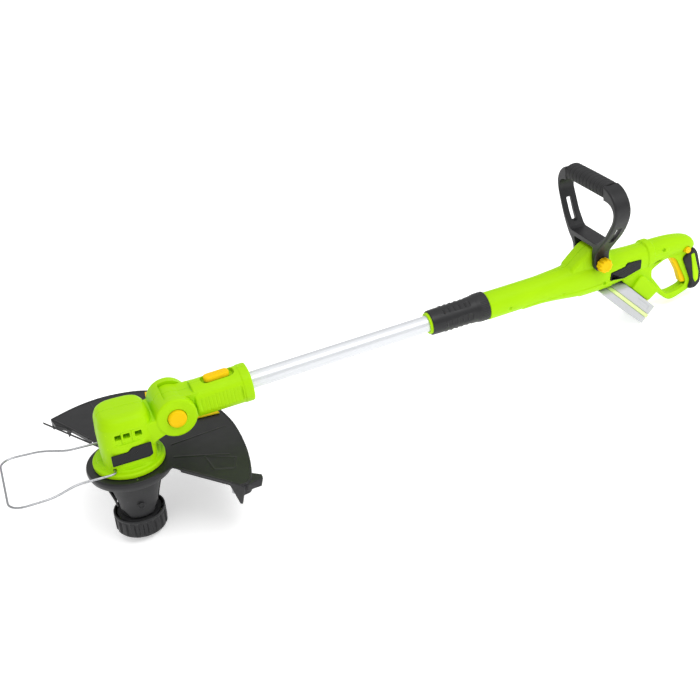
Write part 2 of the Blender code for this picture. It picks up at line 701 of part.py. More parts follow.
def head_body():
    rows = []
    for z, hx, hy, cx in ((-4, 37, 38, 1), (20, 38, 39.5, 1), (45, 38, 39, 0.5), (68, 36.8, 37.4, 0.5), (76, 34, 33.5, 0.5), (81, 29.5, 28.5, 1), (82.8, 20, 20, 2)):
        rows.append([(cx + x, y, z) for x, y in superellipse(hx, hy, 3.6, SEG)])
    box = loft(rows)
    flange = turned([(0, -4), (49.3, -4), (FLANGE_R, -3), (FLANGE_R, 2), (48.5, 4), (0, 4)], "Z", n=28)
    web = prism(rounded([(16, 20), (30, 27), (39, 34.5), (55, 41), (PV.x + 8, 48), (PV.x, 76), (50, 67), (20, 62)], [0, 6, 6, 6, 0, 4, 8, 0]), -33.5, 33.5)
    ears = turned([(0, -EAR_Y1), (EAR_R - 3.5, -EAR_Y1), (EAR_R, -EAR_Y1 + 3.5), (EAR_R, EAR_Y1 - 3.5), (EAR_R - 3.5, EAR_Y1), (0, EAR_Y1)], "Y", PV, 32)
    body = union(box, flange, web, ears)
    body = cut(
        body,
        rod(27.2, -21.8, 21.8, "Y", PV, 28),
        prism([(PV.x, PV.z - 24), (PV.x + 60, PV.z - 24), (PV.x + 60, PV.z + 60), (PV.x - 12, PV.z + 60), (PV.x - 12, PV.z + 20)], -21.8, 21.8),
        rod(20.0, -20, 62.5, "Z", n=24),
        rod(9.4, 60, 72, "Z", n=20),
        rod(4.3, -29, 33.6, "Y", PV, 14),
        rod(13.6, -60, -27.0, "Y", PV, 28),
    )
    return body


def vent_cuts(side):
    a, b = sorted((side * 36.6, side * 60))
    c, d = sorted((side * 15, side * 60))
    recess = prism(rounded([(-27, 44.5), (27, 46), (27, 65), (-27, 63.5)], 3, 2), a, b)
    out = [recess]
    for x in (-18.5, -3.0, 12.5):
        out.append(prism([(x, 53), (x + 8.5, 53), (x + 8.5, 60.5), (x, 60.5)], c, d))
    return out


BADGE_H = rounded([(-27.5, 15.5), (24, 17.5), (29.5, 21), (29, 40.5), (2, 38.5), (-4, 33), (-27.5, 32.5)], 2, 2)
hb = head_body()
for side in (-1, 1):
    hb = cut(hb, *vent_cuts(side))
    a, b = sorted((side * 38.4, side * 60))
    hb = cut(hb, prism(BADGE_H, a, b))
    a, b = sorted((side * 28, side * 60))
    hb = cut(hb, rod(2.1, a, b, "Y", (-25, 0, WIRE_Z), 10))
hl = half(copy_of(hb), -1)
hr = half(hb, 1)
for i, (x, z) in enumerate(((24.0, 70.0), (-29.0, 38.0))):
    y = 34.5 if i == 0 else 38.5
    hr = cut(hr, screw_holes(x, y, z, "Y", 1, length=8.0, sink=2.0) if i == 0 else screw_holes(-31.5, 36.5, 38.0, "Y", 1, length=6.0, sink=2.0))
    s = screw(x, y, z, "Y", 1, length=7.0, sink=2.0) if i == 0 else screw(-31.5, 36.5, 38.0, "Y", 1, length=5.0, sink=2.0)
    piece("head_screw_%d" % (i + 1), moved(s, HEAD), "head", "steel", STEEL)
piece("head_left", moved(hl, HEAD), "head", "lime_plastic", GREEN)
piece("head_right", moved(hr, HEAD), "head", "lime_plastic", GREEN)
for side, name in ((-1, "head_badge_left"), (1, "head_badge_right")):
    a, b = sorted((side * 38.75, side * 40.6))
    piece(name, moved(prism(shrunk(BADGE_H, 0.35), a, b), HEAD), "head", "badge_black", DARK)

# ---------------------------------------------------------------- guard
WING = [
    (20, -48), (34, -55), (50, -45), (59, -55), (112, -116), (124, -131), (137, -127), (146, -104), (152, -78), (157, -40),
    (158.5, 10), (154, 50), (143, 88), (122, 124), (92, 155), (56, 178), (20, 187), (-15, 187), (-50, 178), (-87, 161),
    (-83, 142), (-64, 121), (-42, 78), (-30, 50),
]


def guard_solid():
    plate = prism(WING, -8.0, -4.6, "Z")
    disc = turned([(0, -9.5), (56, -9.5), (56.5, -18), (58.5, -18), (61.0, -11), (GUARD_RING_R, -4.6), (0, -4.6)], "Z", n=32)
    outer = WING[5:20]
    inner = []
    for i, p in enumerate(outer):
        q = Vector(p)
        inner.append(tuple(q - q.normalized() * 3.2))
    wall = prism(list(outer) + inner[::-1], -22.0, -6.0, "Z")
    g = union(plate, disc, wall)
    # lips along both open edges, and the fins at both corners
    near = prism([(57, -52), (59, -55), (112, -116), (124, -131), (126, -129), (113, -112.5)], -11.5, -6, "Z")
    far = prism([(-87, 161), (-83, 142), (-64, 121), (-42, 78), (-39.5, 79), (-61.5, 121), (-80.5, 142), (-84, 158)], -11.5, -6, "Z")
    g = union(g, near, far)
    along, across = Vector((0.625, -0.781, 0.0)), Vector((0.781, 0.625, 0.0))

    def fin_row(s0, s1, z):
        p = Vector((112.0, -116.0, z))
        return [p + along * s0 - across * 0.3, p + along * s1 - across * 0.3, p + along * s1 + across * 2.3, p + along * s0 + across * 2.3]

    fin = loft([fin_row(-4, 23.0, -6), fin_row(2, 21.5, -16), fin_row(12.5, 16.0, -37)])
    fin2 = loft([[(-70, 127, -6), (-67.5, 126, -6), (-62, 117, -6), (-64.5, 118, -6)], [(-68.5, 125.5, -20), (-67, 125, -20), (-66, 123, -20), (-67.4, 123.5, -20)]])
    boss = loft(
        [
            [(138, -112, -16), (153, -119, -16), (151.5, -129.7, -16), (131.2, -131.8, -16), (126, -124, -16)],
            [(138, -103, -5), (156.5, -118, -5), (155.5, -127, -5), (133, -134, -5), (124, -126, -5)],
        ]
    )
    g = union(g, fin, fin2, boss)
    g = cut(g, rod(47.0, -40, 10, "Z", n=32))
    return g


guard = guard_solid()
INSERT = [(113, 57), (146, 56), (140, 80), (119, 115), (90, 146), (58, 168), (56, 155), (82, 133), (102, 106), (111, 80)]
insert = prism(INSERT, -4.3, -1.6, "Z")
for i, (x, y) in enumerate(((0.0, 52.5), (0.0, -52.5))):
    guard = cut(guard, rod(1.9, -20, 0, "Z", (x, y, 0), 10))
    piece("guard_screw_%d" % (i + 1), moved(turned([(0, -13.0), (2.9, -13.0), (2.9, -9.9), (1.6, -9.9), (1.6, -4.9), (0, -4.9)], "Z", (x, y, 0), 10), HEAD), "head", "steel", STEEL)
piece("guard", moved(guard, HEAD), "head", "black_plastic", BLACK)
piece("guard_insert", moved(insert, HEAD), "head", "yellow_plastic", YELLOW)
piece("line_cutter", moved(prism([(113.5, -113.4), (121.0, -122.8), (121.8, -122.2), (114.3, -112.8)], -26, -12.2, "Z"), HEAD), "head", "steel", STEEL)

# ---------------------------------------------------------------- shroud above the spool
out = [(45.6, -9.9), (45.0, -18), (40.5, -36), (34.5, -56), (31.2, -70), (30.2, -84)]
shroud = turned(out + [(r - 2.6, z) for r, z in out[::-1]], "Z", n=28)
for a in (0, 180):
    for s in (-1, 1):
        w = prism([(s * 9, -74), (s * 15, -74), (s * 24, -34), (s * 20, -24), (s * 9, -24)], 0, 80, "X")
        w.data.transform(Matrix.Rotation(math.radians(a), 4, "Z"))
        shroud = cut(shroud, w)
for a in (90, -90):
    for s in (-1, 1):
        w = prism([(s * 13, -90), (s * 44, -90), (s * 44, -71), (s * 24, -71), (s * 19, -78)], 0, 60, "X")
        w.data.transform(Matrix.Rotation(math.radians(a), 4, "Z"))
        shroud = cut(shroud, w)
piece("spool_shroud", moved(shroud, HEAD), "head", "black_plastic", BLACK)

# ---------------------------------------------------------------- motor
piece("motor_can", moved(turned([(8.6, 6.0), (18.6, 6.0), (18.6, 60.5), (8.6, 60.5), (8.6, 58.5), (14.6, 58.5), (14.6, 9.0), (8.6, 9.0)], "Z", n=24), HEAD), "head", "steel", STEEL)
piece("motor_rotor", moved(turned([(3.0, 14.0), (13.6, 14.0), (13.6, 52.0), (3.0, 52.0)], "Z", n=20), HEAD), "spinner", "copper", COPPER)
piece("upper_bearing", moved(ring(2.9, 9.0, 62.9, 68.0, "Z", n=16), HEAD), "head", "steel", STEEL)
piece("lower_bearing", moved(ring(2.9, 8.2, 1.0, 7.0, "Z", n=16), HEAD), "head", "steel", STEEL)
piece("motor_shaft", moved(rod(2.6, -78.0, 68.5, "Z", n=12), HEAD), "spinner", "steel", STEEL)
piece(
    "drive_hub",
    moved(turned([(3.0, -79.0), (3.0, -44.0), (9.0, -44.0), (10.0, -80.0), (26.0, -84.0), (26.0, -87.0), (8.0, -87.0), (8.0, -108.0), (0, -108.0), (0, -79.0)], "Z", n=24), HEAD),
    "spinner",
    "black_plastic",
    BLACK,
)
piece(
    "line_spool",
    moved(turned([(8.4, -108.0), (33.0, -108.0), (33.0, -106.0), (20.0, -106.0), (20.0, -89.8), (31.5, -89.8), (31.5, -87.8), (8.4, -87.8)], "Z", n=28), HEAD),
    "spinner",
    "dark_plastic",
    DARK,
)
piece("wound_line", moved(turned([(20.3, -105.6), (29.6, -105.6), (30.6, -98), (29.6, -90.2), (20.3, -90.2)], "Z", n=28), HEAD), "spinner", "trimmer_line", LINE)


def cap_solid():
    n = 60
    rows = []
    for z, r, depth in ((CAP_BOTTOM, 25.0, 0), (CAP_BOTTOM, 30.0, 0), (-115.5, 34.0, 0.0), (-112.0, CAP_R, 1.0), (-92.0, CAP_R, 1.0), (-89.0, 36.8, 0.0), (CAP_TOP, 36.0, 0)):
        row = []
        for i in range(n):
            t = 2 * math.pi * i / n
            rr = r - depth * 1.4 * (1 if i % 4 in (2, 3) else 0)
            row.append((rr * math.cos(t), rr * math.sin(t), z))
        rows.append(row)
    cap = loft(rows)
    cap = cut(cap, rod(34.2, -108.9, -60, "Z", n=28))
    return cap


piece("spool_cap", moved(cap_solid(), HEAD), "spinner", "black_plastic", BLACK)

# ---------------------------------------------------------------- tilt joint
piece("pivot_pin", turned([(0, -26.4), (4.0, -26.4), (4.0, 33.2), (0, 33.2)], "Y", PIVOT, 14), "head", "steel", STEEL)
piece(
    "tilt_button",
    turned([(0, -40.0), (9.8, -40.0), (12.1, -39.2), (12.9, -37.4), (12.9, -31.4), (0, -31.4)], "Y", PIVOT, 28),
    "tilt_button",
    "yellow_plastic",
    YELLOW,
)


def coil(r, wire, y0, y1, turns, centre, sides=6, per=12):
    path = []
    for k in range(int(turns * per) + 1):
        t = 2 * math.pi * k / per
        path.append(Vector(centre) + Vector((math.cos(t) * r, y0 + (y1 - y0) * k / (turns * per), math.sin(t) * r)))
    return swept(path, wire, sides)


piece("tilt_spring", coil(7.0, 0.6, -30.4, -27.9, 1.5, PIVOT), "head", "steel", STEEL)

# ---------------------------------------------------------------- wire guard
PATH = [(-25, -31), (-25, -41.5), (-31, -44.5), (-78, -44.5), (-112, -61), (-157, -63.5), (-169, -52)]
flat = rounded(PATH + [(x, -y) for x, y in PATH[::-1]], [0, 4, 8, 10, 12, 14, 8, 8, 14, 12, 10, 8, 4, 0], 3)
piece("guard_wire", moved(swept([Vector((x, y, WIRE_Z)) for x, y in flat], WIRE_R, 8), HEAD), "wire", "steel", STEEL)

for leftover in list(bpy.data.objects):
    if leftover.name.startswith("work"):
        bpy.data.objects.remove(leftover)
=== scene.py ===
"""Looks of the cordless line trimmer and lawn edger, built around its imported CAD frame.

Shapes are worked out in millimetres in the shaft's own frame (X along the shaft
towards the rear handle, Y to the operator's right, Z up), as in the CAD source, and
then carried into the row frame. The head has its own frame on the spool's axis.
"""

import json
import math

import bmesh  # noqa: E402
import bpy  # noqa: E402
from mathutils import Matrix, Vector  # noqa: E402

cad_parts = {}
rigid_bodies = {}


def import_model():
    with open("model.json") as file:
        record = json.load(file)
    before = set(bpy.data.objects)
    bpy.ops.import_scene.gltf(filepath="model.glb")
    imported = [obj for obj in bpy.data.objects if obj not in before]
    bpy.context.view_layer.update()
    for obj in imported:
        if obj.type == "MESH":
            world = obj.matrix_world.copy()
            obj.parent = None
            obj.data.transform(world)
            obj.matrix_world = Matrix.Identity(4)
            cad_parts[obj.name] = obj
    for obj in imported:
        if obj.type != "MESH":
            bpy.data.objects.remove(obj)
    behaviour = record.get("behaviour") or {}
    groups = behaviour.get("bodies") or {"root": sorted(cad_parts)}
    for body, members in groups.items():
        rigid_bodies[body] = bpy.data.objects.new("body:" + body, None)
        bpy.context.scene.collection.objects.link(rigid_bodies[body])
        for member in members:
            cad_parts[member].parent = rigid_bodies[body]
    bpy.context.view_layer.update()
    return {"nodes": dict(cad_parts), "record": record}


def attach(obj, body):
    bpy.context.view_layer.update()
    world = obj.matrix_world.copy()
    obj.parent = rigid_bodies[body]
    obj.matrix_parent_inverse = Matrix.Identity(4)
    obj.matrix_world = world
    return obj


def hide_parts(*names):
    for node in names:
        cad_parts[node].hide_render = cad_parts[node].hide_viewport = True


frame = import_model()

# ---------------------------------------------------------------- dimensions, mm and degrees
TUBE_R, TUBE_WALL = 12.5, 1.2
PIVOT = Vector((-245.0, 0.0, -1.0))
EAR_R, EAR_Y1 = 29.0, 35.0
COLLAR_X0, COLLAR_X1 = -214.0, -131.0
HANDLE_PIVOT = Vector((428.0, 0.0, 25.0))
BOLT_AT = Vector((593.0, 0.0, -7.5))
BAT_D = Vector((0.683, 0.0, -0.730)).normalized()
BAT_N = Vector((0.730, 0.0, 0.683)).normalized()
FLANGE_R, GUARD_RING_R, CAP_R = 50.3, 60.0, 37.0
CAP_TOP, CAP_BOTTOM = -86.0, -118.0
WIRE_R, WIRE_Z = 1.6, 7.2
STANCE = Matrix.Translation((-62.56, -26.42, 150.572)) @ Matrix.Rotation(math.radians(5.118), 4, "Y")
HEAD = Matrix.Translation((-319.0, 0.0, -58.0)) @ Matrix.Rotation(math.radians(4.0), 4, "Y")
TO_ROW = Matrix.Scale(0.001, 4) @ STANCE
SEG = 96


# ---------------------------------------------------------------- mesh helpers
def mesh_object(verts, faces):
    mesh = bpy.data.meshes.new("work")
    mesh.from_pydata([tuple(v) for v in verts], [], faces)
    obj = bpy.data.objects.new("work", mesh)
    bpy.context.scene.collection.objects.link(obj)
    bm = bmesh.new()
    bm.from_mesh(mesh)
    bmesh.ops.recalc_face_normals(bm, faces=bm.faces)
    if bm.calc_volume(signed=True) < 0:
        bmesh.ops.reverse_faces(bm, faces=bm.faces)
    bm.to_mesh(mesh)
    bm.free()
    return obj


def moved(obj, matrix):
    obj.data.transform(matrix)
    return obj


def loft(rings):
    n = len(rings[0])
    verts = [p for r in rings for p in r]
    faces = []
    for k in range(len(rings) - 1):
        for i in range(n):
            j = (i + 1) % n
            faces.append((k * n + i, k * n + j, (k + 1) * n + j, (k + 1) * n + i))
    faces.append(tuple(range(n)))
    faces.append(tuple(range((len(rings) - 1) * n, len(rings) * n)))
    return mesh_object(verts, faces)


def superellipse(hw, hh, power, n=SEG):
    points = []
    for i in range(n):
        t = 2 * math.pi * (i + 0.5) / n
        c, s = math.cos(t), math.sin(t)
        e = 2.0 / power
        points.append((math.copysign(abs(c) ** e, c) * hw, math.copysign(abs(s) ** e, s) * hh))
    return points


def frame_for(axis):
    return {
        "X": (Vector((0, 1, 0)), Vector((0, 0, 1)), Vector((1, 0, 0))),
        "Y": (Vector((0, 0, 1)), Vector((1, 0, 0)), Vector((0, 1, 0))),
        "Z": (Vector((1, 0, 0)), Vector((0, 1, 0)), Vector((0, 0, 1))),
    }[axis]


def turned(profile, axis="Z", centre=(0, 0, 0), n=SEG, phase=0.0):
    a, b, c = frame_for(axis)
    centre = Vector(centre)
    verts, faces, rows = [], [], []
    for r, h in profile:
        row = []
        if r < 1e-6:
            row = [len(verts)] * n
            verts.append(centre + c * h)
        else:
            for i in range(n):
                t = 2 * math.pi * i / n + phase
                row.append(len(verts))
                verts.append(centre + (a * math.cos(t) + b * math.sin(t)) * r + c * h)
        rows.append(row)
    m = len(rows)
    for k in range(m):
        p, q = rows[k], rows[(k + 1) % m]
        for i in range(n):
            j = (i + 1) % n
            face = []
            for v in (p[i], p[j], q[j], q[i]):
                if v not in face:
                    face.append(v)
            if len(face) > 2:
                faces.append(tuple(face))
    return mesh_object(verts, faces)


def rod(r, h0, h1, axis="Z", centre=(0, 0, 0), n=48):
    return turned([(0, h0), (r, h0), (r, h1), (0, h1)], axis, centre, n)


def ring(r0, r1, h0, h1, axis="Z", centre=(0, 0, 0), n=SEG):
    return turned([(r0, h0), (r1, h0), (r1, h1), (r0, h1)], axis, centre, n)


def arc(cx, cy, r, a0, a1, n=5):
    """Points of an arc of a turned profile, angles in degrees."""
    return [
        (cx + r * math.cos(math.radians(a0 + (a1 - a0) * k / n)), cy + r * math.sin(math.radians(a0 + (a1 - a0) * k / n)))
        for k in range(n + 1)
    ]


PLACE = {
    "Y": lambda u, v, h: (u, h, v),
    "X": lambda u, v, h: (h, u, v),
    "Z": lambda u, v, h: (u, v, h),
}


def prism(outline, h0, h1, axis="Y"):
    place = PLACE[axis]
    return loft([[place(u, v, h0) for u, v in outline], [place(u, v, h1) for u, v in outline]])


def block(x0, x1, y0, y1, z0, z1):
    return prism([(x0, z0), (x1, z0), (x1, z1), (x0, z1)], y0, y1)


def rounded(points, radius, steps=7):
    out = []
    n = len(points)
    radii = radius if isinstance(radius, (list, tuple)) else [radius] * n
    for i in range(n):
        p, q, s = Vector(points[i - 1]), Vector(points[i]), Vector(points[(i + 1) % n])
        r = radii[i]
        if r <= 0:
            out.append(tuple(q))
            continue
        a, b = p - q, s - q
        la, lb = min(r, a.length * 0.49), min(r, b.length * 0.49)
        a, b = q + a.normalized() * la, q + b.normalized() * lb
        for k in range(steps + 1):
            t = k / steps
            out.append(tuple(a.lerp(q, t).lerp(q.lerp(b, t), t)))
    return out


def shrunk(outline, d):
    n = len(outline)
    area = sum(outline[i - 1][0] * outline[i][1] - outline[i][0] * outline[i - 1][1] for i in range(n))
    s = 1 if area > 0 else -1
    out = []
    for i in range(n):
        p, q, r = (Vector(outline[i - 1]), Vector(outline[i]), Vector(outline[(i + 1) % n]))
        a, b = (q - p).normalized(), (r - q).normalized()
        na, nb = Vector((-a.y, a.x)) * s, Vector((-b.y, b.x)) * s
        m = na + nb
        m = m / max(m.length_squared / 2, 0.5)
        out.append(tuple(q + m * d))
    return out


def pillow(outline, h0, h1, r, axis="Y", steps=4, ends=(True, True)):
    """A prism whose long edges are rounded by r, at one or both ends."""
    place = PLACE[axis]
    s = 1 if h1 > h0 else -1
    rows = []
    if ends[0]:
        for k in range(steps):
            t = math.pi / 2 * k / steps
            rows.append((h0 + s * r * (1 - math.sin(t)) * 0 + s * r * (1 - math.cos(t)), r * (1 - math.sin(t))))
        rows.append((h0 + s * r, 0.0))
    else:
        rows.append((h0, 0.0))
    if ends[1]:
        rows.append((h1 - s * r, 0.0))
        for k in range(steps - 1, -1, -1):
            t = math.pi / 2 * k / steps
            rows.append((h1 - s * r * (1 - math.cos(t)), r * (1 - math.sin(t))))
    else:
        rows.append((h1, 0.0))
    return loft([[place(u, v, h) for u, v in (shrunk(outline, d) if d > 1e-6 else outline)] for h, d in rows])


def smooth_path(points, per=8):
    pts = [Vector(p) for p in points]
    pts = [pts[0] * 2 - pts[1]] + pts + [pts[-1] * 2 - pts[-2]]
    out = []
    for i in range(1, len(pts) - 2):
        p0, p1, p2, p3 = pts[i - 1 : i + 3]
        for k in range(per):
            t = k / per
            out.append(
                0.5 * ((2 * p1) + (p2 - p0) * t + (2 * p0 - 5 * p1 + 4 * p2 - p3) * t**2 + (3 * p1 - p0 - 3 * p2 + p3) * t**3)
            )
    out.append(pts[-2])
    return out


def swept(path, r, sides=16, round_ends=False):
    rings, side = [], None
    path = [Vector(p) for p in path]
    for i, p in enumerate(path):
        d = (path[min(i + 1, len(path) - 1)] - path[max(i - 1, 0)]).normalized()
        if side is None:
            side = d.orthogonal().normalized()
        side = (side - d * side.dot(d)).normalized()
        up = d.cross(side)

        def circle(at, rr):
            return [at + (side * math.cos(2 * math.pi * k / sides) + up * math.sin(2 * math.pi * k / sides)) * rr for k in range(sides)]

        if round_ends and i == 0:
            rings += [circle(p + d * r * (1 - math.cos(a)), max(r * math.sin(a), 0.02)) for a in (0.1, 0.6, 1.1)]
            continue
        if round_ends and i == len(path) - 1:
            rings += [circle(p - d * r * (1 - math.cos(a)), max(r * math.sin(a), 0.02)) for a in (1.1, 0.6, 0.1)]
            continue
        rings.append(circle(p, r))
    return loft(rings)


def is_closed(mesh):
    bm = bmesh.new()
    bm.from_mesh(mesh)
    closed = len(bm.faces) > 0 and all(len(e.link_faces) == 2 for e in bm.edges)
    bm.free()
    return closed


def combine(a, b, how):
    modifier = a.modifiers.new("b", "BOOLEAN")
    modifier.operation = how
    modifier.object = b
    for solver in ("MANIFOLD", "EXACT"):
        modifier.solver = solver
        bpy.context.view_layer.update()
        graph = bpy.context.evaluated_depsgraph_get()
        mesh = bpy.data.meshes.new_from_object(a.evaluated_get(graph))
        if is_closed(mesh) and len(mesh.polygons) != len(a.data.polygons):
            break
    a.modifiers.clear()
    old = a.data
    a.data = mesh
    bpy.data.meshes.remove(old)
    bpy.data.objects.remove(b)
    return a


def union(a, *others):
    for b in others:
        a = combine(a, b, "UNION")
    return a


def cut(a, *others):
    for b in others:
        a = combine(a, b, "DIFFERENCE")
    return a


def half(a, side, gap=0.15, size=900.0):
    y0, y1 = (gap, size) if side > 0 else (-size, -gap)
    return combine(a, block(-size, size, y0, y1, -size, size), "INTERSECT")


def copy_of(a):
    b = a.copy()
    b.data = a.data.copy()
    bpy.context.scene.collection.objects.link(b)
    return b


def evaluated(obj):
    """Applies the object's modifiers to its mesh."""
    bpy.context.view_layer.update()
    graph = bpy.context.evaluated_depsgraph_get()
    mesh = bpy.data.meshes.new_from_object(obj.evaluated_get(graph))
    obj.modifiers.clear()
    old = obj.data
    obj.data = mesh
    bpy.data.meshes.remove(old)
    return obj


def softened(obj, voxel=0.7, passes=4, most=190000):
    """Remeshes a solid into an even surface and rounds its edges, as moulded plastic has them."""
    m = obj.modifiers.new("r", "REMESH")
    m.mode = "VOXEL"
    m.voxel_size = voxel
    m.adaptivity = 0.0
    m.use_smooth_shade = True
    s = obj.modifiers.new("s", "SMOOTH")
    s.factor = 0.5
    s.iterations = passes
    evaluated(obj)
    faces = 2 * len(obj.data.polygons)
    if faces > most:
        d = obj.modifiers.new("d", "DECIMATE")
        d.ratio = most / faces
        evaluated(obj)
    return obj


def bevelled(obj, width=0.5, segments=3, angle=30):
    m = obj.modifiers.new("w", "WELD")
    m.merge_threshold = 0.001
    m = obj.modifiers.new("b", "BEVEL")
    m.width = width
    m.segments = segments
    m.limit_method = "ANGLE"
    m.angle_limit = math.radians(angle)
    m.use_clamp_overlap = True
    return evaluated(obj)


def piece(name, obj, body, nodes, look, angle=35, matrix=None):
    """Names a finished piece, carries it into the row frame, and rides it on its CAD body."""
    if matrix is not None:
        obj.data.transform(matrix)
    obj.data.transform(TO_ROW)
    obj.name = name
    obj.data.name = name
    obj.data.materials.clear()
    obj.data.materials.append(look)
    obj.data.shade_smooth()
    if angle:
        obj.data.set_sharp_from_angle(angle=math.radians(angle))
    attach(obj, body)
    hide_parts(*nodes)
    return obj


# ---------------------------------------------------------------- materials
def srgb(*rgb):
    return tuple((c / 12.92 if c <= 0.04045 else ((c + 0.055) / 1.055) ** 2.4) for c in [v / 255 for v in rgb]) + (1.0,)


class Look:
    """A procedural material: mottled colour, sharp edges lighter as wear and painted highlight, grain in roughness and
    bump.
    """

    def __init__(self, name, metallic=0.0, coat=0.0, coat_rough=0.2, ior=1.46, specular=0.5):
        self.m = bpy.data.materials.new(name)
        self.m.use_nodes = True
        self.t = self.m.node_tree
        self.s = self.t.nodes["Principled BSDF"]
        self.s.inputs["Metallic"].default_value = metallic
        self.s.inputs["Coat Weight"].default_value = coat
        self.s.inputs["Coat Roughness"].default_value = coat_rough
        self.s.inputs["IOR"].default_value = ior
        self.s.inputs["Specular IOR Level"].default_value = specular
        self.at = self.t.nodes.new("ShaderNodeTexCoord").outputs["Object"]

    def noise(self, scale, detail=3.0, rough=0.55, stretch=None, distortion=0.0):
        vector = self.at
        if stretch:
            m = self.t.nodes.new("ShaderNodeMapping")
            m.inputs["Scale"].default_value = stretch
            m.inputs["Rotation"].default_value = (0, math.radians(-5.118), 0)
            self.t.links.new(self.at, m.inputs["Vector"])
            vector = m.outputs["Vector"]
        n = self.t.nodes.new("ShaderNodeTexNoise")
        n.inputs["Scale"].default_value = scale
        n.inputs["Detail"].default_value = detail
        n.inputs["Roughness"].default_value = rough
        n.inputs["Distortion"].default_value = distortion
        self.t.links.new(vector, n.inputs["Vector"])
        return n.outputs["Fac"]

    def spread(self, value, lo, hi, from_lo=0.25, from_hi=0.75):
        r = self.t.nodes.new("ShaderNodeMapRange")
        r.inputs["From Min"].default_value = from_lo
        r.inputs["From Max"].default_value = from_hi
        r.inputs["To Min"].default_value = lo
        r.inputs["To Max"].default_value = hi
        self.t.links.new(value, r.inputs["Value"])
        return r.outputs["Result"]

    def mix(self, factor, a, b):
        x = self.t.nodes.new("ShaderNodeMix")
        x.data_type = "RGBA"
        self.t.links.new(factor, x.inputs[0])
        for v, socket in ((a, x.inputs[6]), (b, x.inputs[7])):
            if isinstance(v, tuple):
                socket.default_value = v
            else:
                self.t.links.new(v, socket)
        return x.outputs[2]

    def edges(self, lo=0.53, hi=0.62):
        # pointiness mask for the lighter edges, part wear and part painted highlight
        g = self.t.nodes.new("ShaderNodeNewGeometry")
        return self.spread(g.outputs["Pointiness"], 0.0, 1.0, lo, hi)

    def colour(self, value):
        self.t.links.new(value, self.s.inputs["Base Color"])

    def roughness(self, value):
        self.t.links.new(value, self.s.inputs["Roughness"])

    def bump(self, height, distance, strength=1.0):
        b = self.t.nodes.new("ShaderNodeBump")
        b.inputs["Strength"].default_value = strength
        b.inputs["Distance"].default_value = distance
        self.t.links.new(height, b.inputs["Height"])
        self.t.links.new(b.outputs["Normal"], self.s.inputs["Normal"])


def plastic(name, base, light, edge_wear_and_highlight, rough=(0.34, 0.46), grain=1500, depth=0.00004, coat=0.0, mottle=14, edge=(0.54, 0.66), spec=0.5):
    k = Look(name, coat=coat, specular=spec)
    body = k.mix(k.spread(k.noise(mottle, 4), 0, 1), base, light)
    # sharp edges take the third, lighter colour: part wear, part painted highlight
    k.colour(k.mix(k.edges(*edge), body, edge_wear_and_highlight))
    k.roughness(k.spread(k.noise(60, 4), rough[0], rough[1]))
    k.bump(k.noise(grain, 3, 0.6), depth, 0.6)
    return k.m


# the third colour of each plastic is its lighter edge colour, part wear and part painted highlight
LIME = plastic("lime_plastic", srgb(163, 217, 0), srgb(170, 223, 0), srgb(198, 242, 0), (0.42, 0.52), 1300, 0.00003, spec=0.14)
YELLOW = plastic("yellow_plastic", srgb(238, 192, 0), srgb(243, 200, 0), srgb(255, 226, 40), (0.42, 0.52), 1300, 0.00003, spec=0.14)
BLACK = plastic("black_plastic", srgb(25, 25, 27), srgb(31, 31, 33), srgb(74, 74, 76), (0.36, 0.48), 900, 0.00009, mottle=22, spec=0.4)
DEEP = plastic("dark_plastic", srgb(30, 30, 32), srgb(38, 38, 40), srgb(64, 64, 66), (0.50, 0.62), 900, 0.00006)
RUBBER = plastic("black_rubber", srgb(28, 28, 30), srgb(35, 35, 36), srgb(62, 62, 64), (0.62, 0.78), 1100, 0.00012, mottle=30)
BADGE = plastic("badge_black", srgb(20, 21, 22), srgb(25, 26, 27), srgb(50, 52, 54), (0.34, 0.42), 1600, 0.00001, spec=0.3)
GREY = plastic("battery_grey", srgb(186, 187, 192), srgb(196, 197, 201), srgb(216, 217, 220), (0.42, 0.54), 900, 0.00006)
PALE_LIME = plastic("battery_green", srgb(214, 232, 150), srgb(222, 238, 166), srgb(232, 244, 190), (0.36, 0.46), 1200, 0.00004, coat=0.1)
PALE_YELLOW = plastic("battery_yellow", srgb(250, 232, 150), srgb(252, 236, 164), srgb(255, 244, 196), (0.36, 0.46), 1200, 0.00004)


def metal(name, base, light, rough, stretch, scale=60, metallic=1.0, depth=0.00002, coat=0.0):
    k = Look(name, metallic=metallic, coat=coat)
    streak = k.noise(scale, 4, 0.6, stretch)
    k.colour(k.mix(k.spread(streak, 0, 1), base, light))
    k.roughness(k.spread(streak, *rough))
    k.bump(streak, depth, 0.5)
    return k.m


ALU = metal("satin_aluminium", srgb(208, 210, 214), srgb(222, 224, 227), (0.26, 0.36), (0.25, 22, 22), 40, 0.35, 0.000012, 0.3)
STEEL = metal("steel", srgb(150, 151, 154), srgb(186, 187, 190), (0.24, 0.38), (14, 14, 14), 30, 1.0)
COPPER = metal("copper", srgb(184, 110, 66), srgb(206, 132, 84), (0.28, 0.42), (20, 20, 2), 40, 1.0)
k = Look("trimmer_line", coat=0.2)
k.colour(k.mix(k.spread(k.noise(90, 3), 0, 1), srgb(176, 200, 60), srgb(196, 216, 84)))
k.roughness(k.spread(k.noise(300, 3), 0.32, 0.46))
k.bump(k.noise(700, 3), 0.00005, 0.5)
LINE = k.m

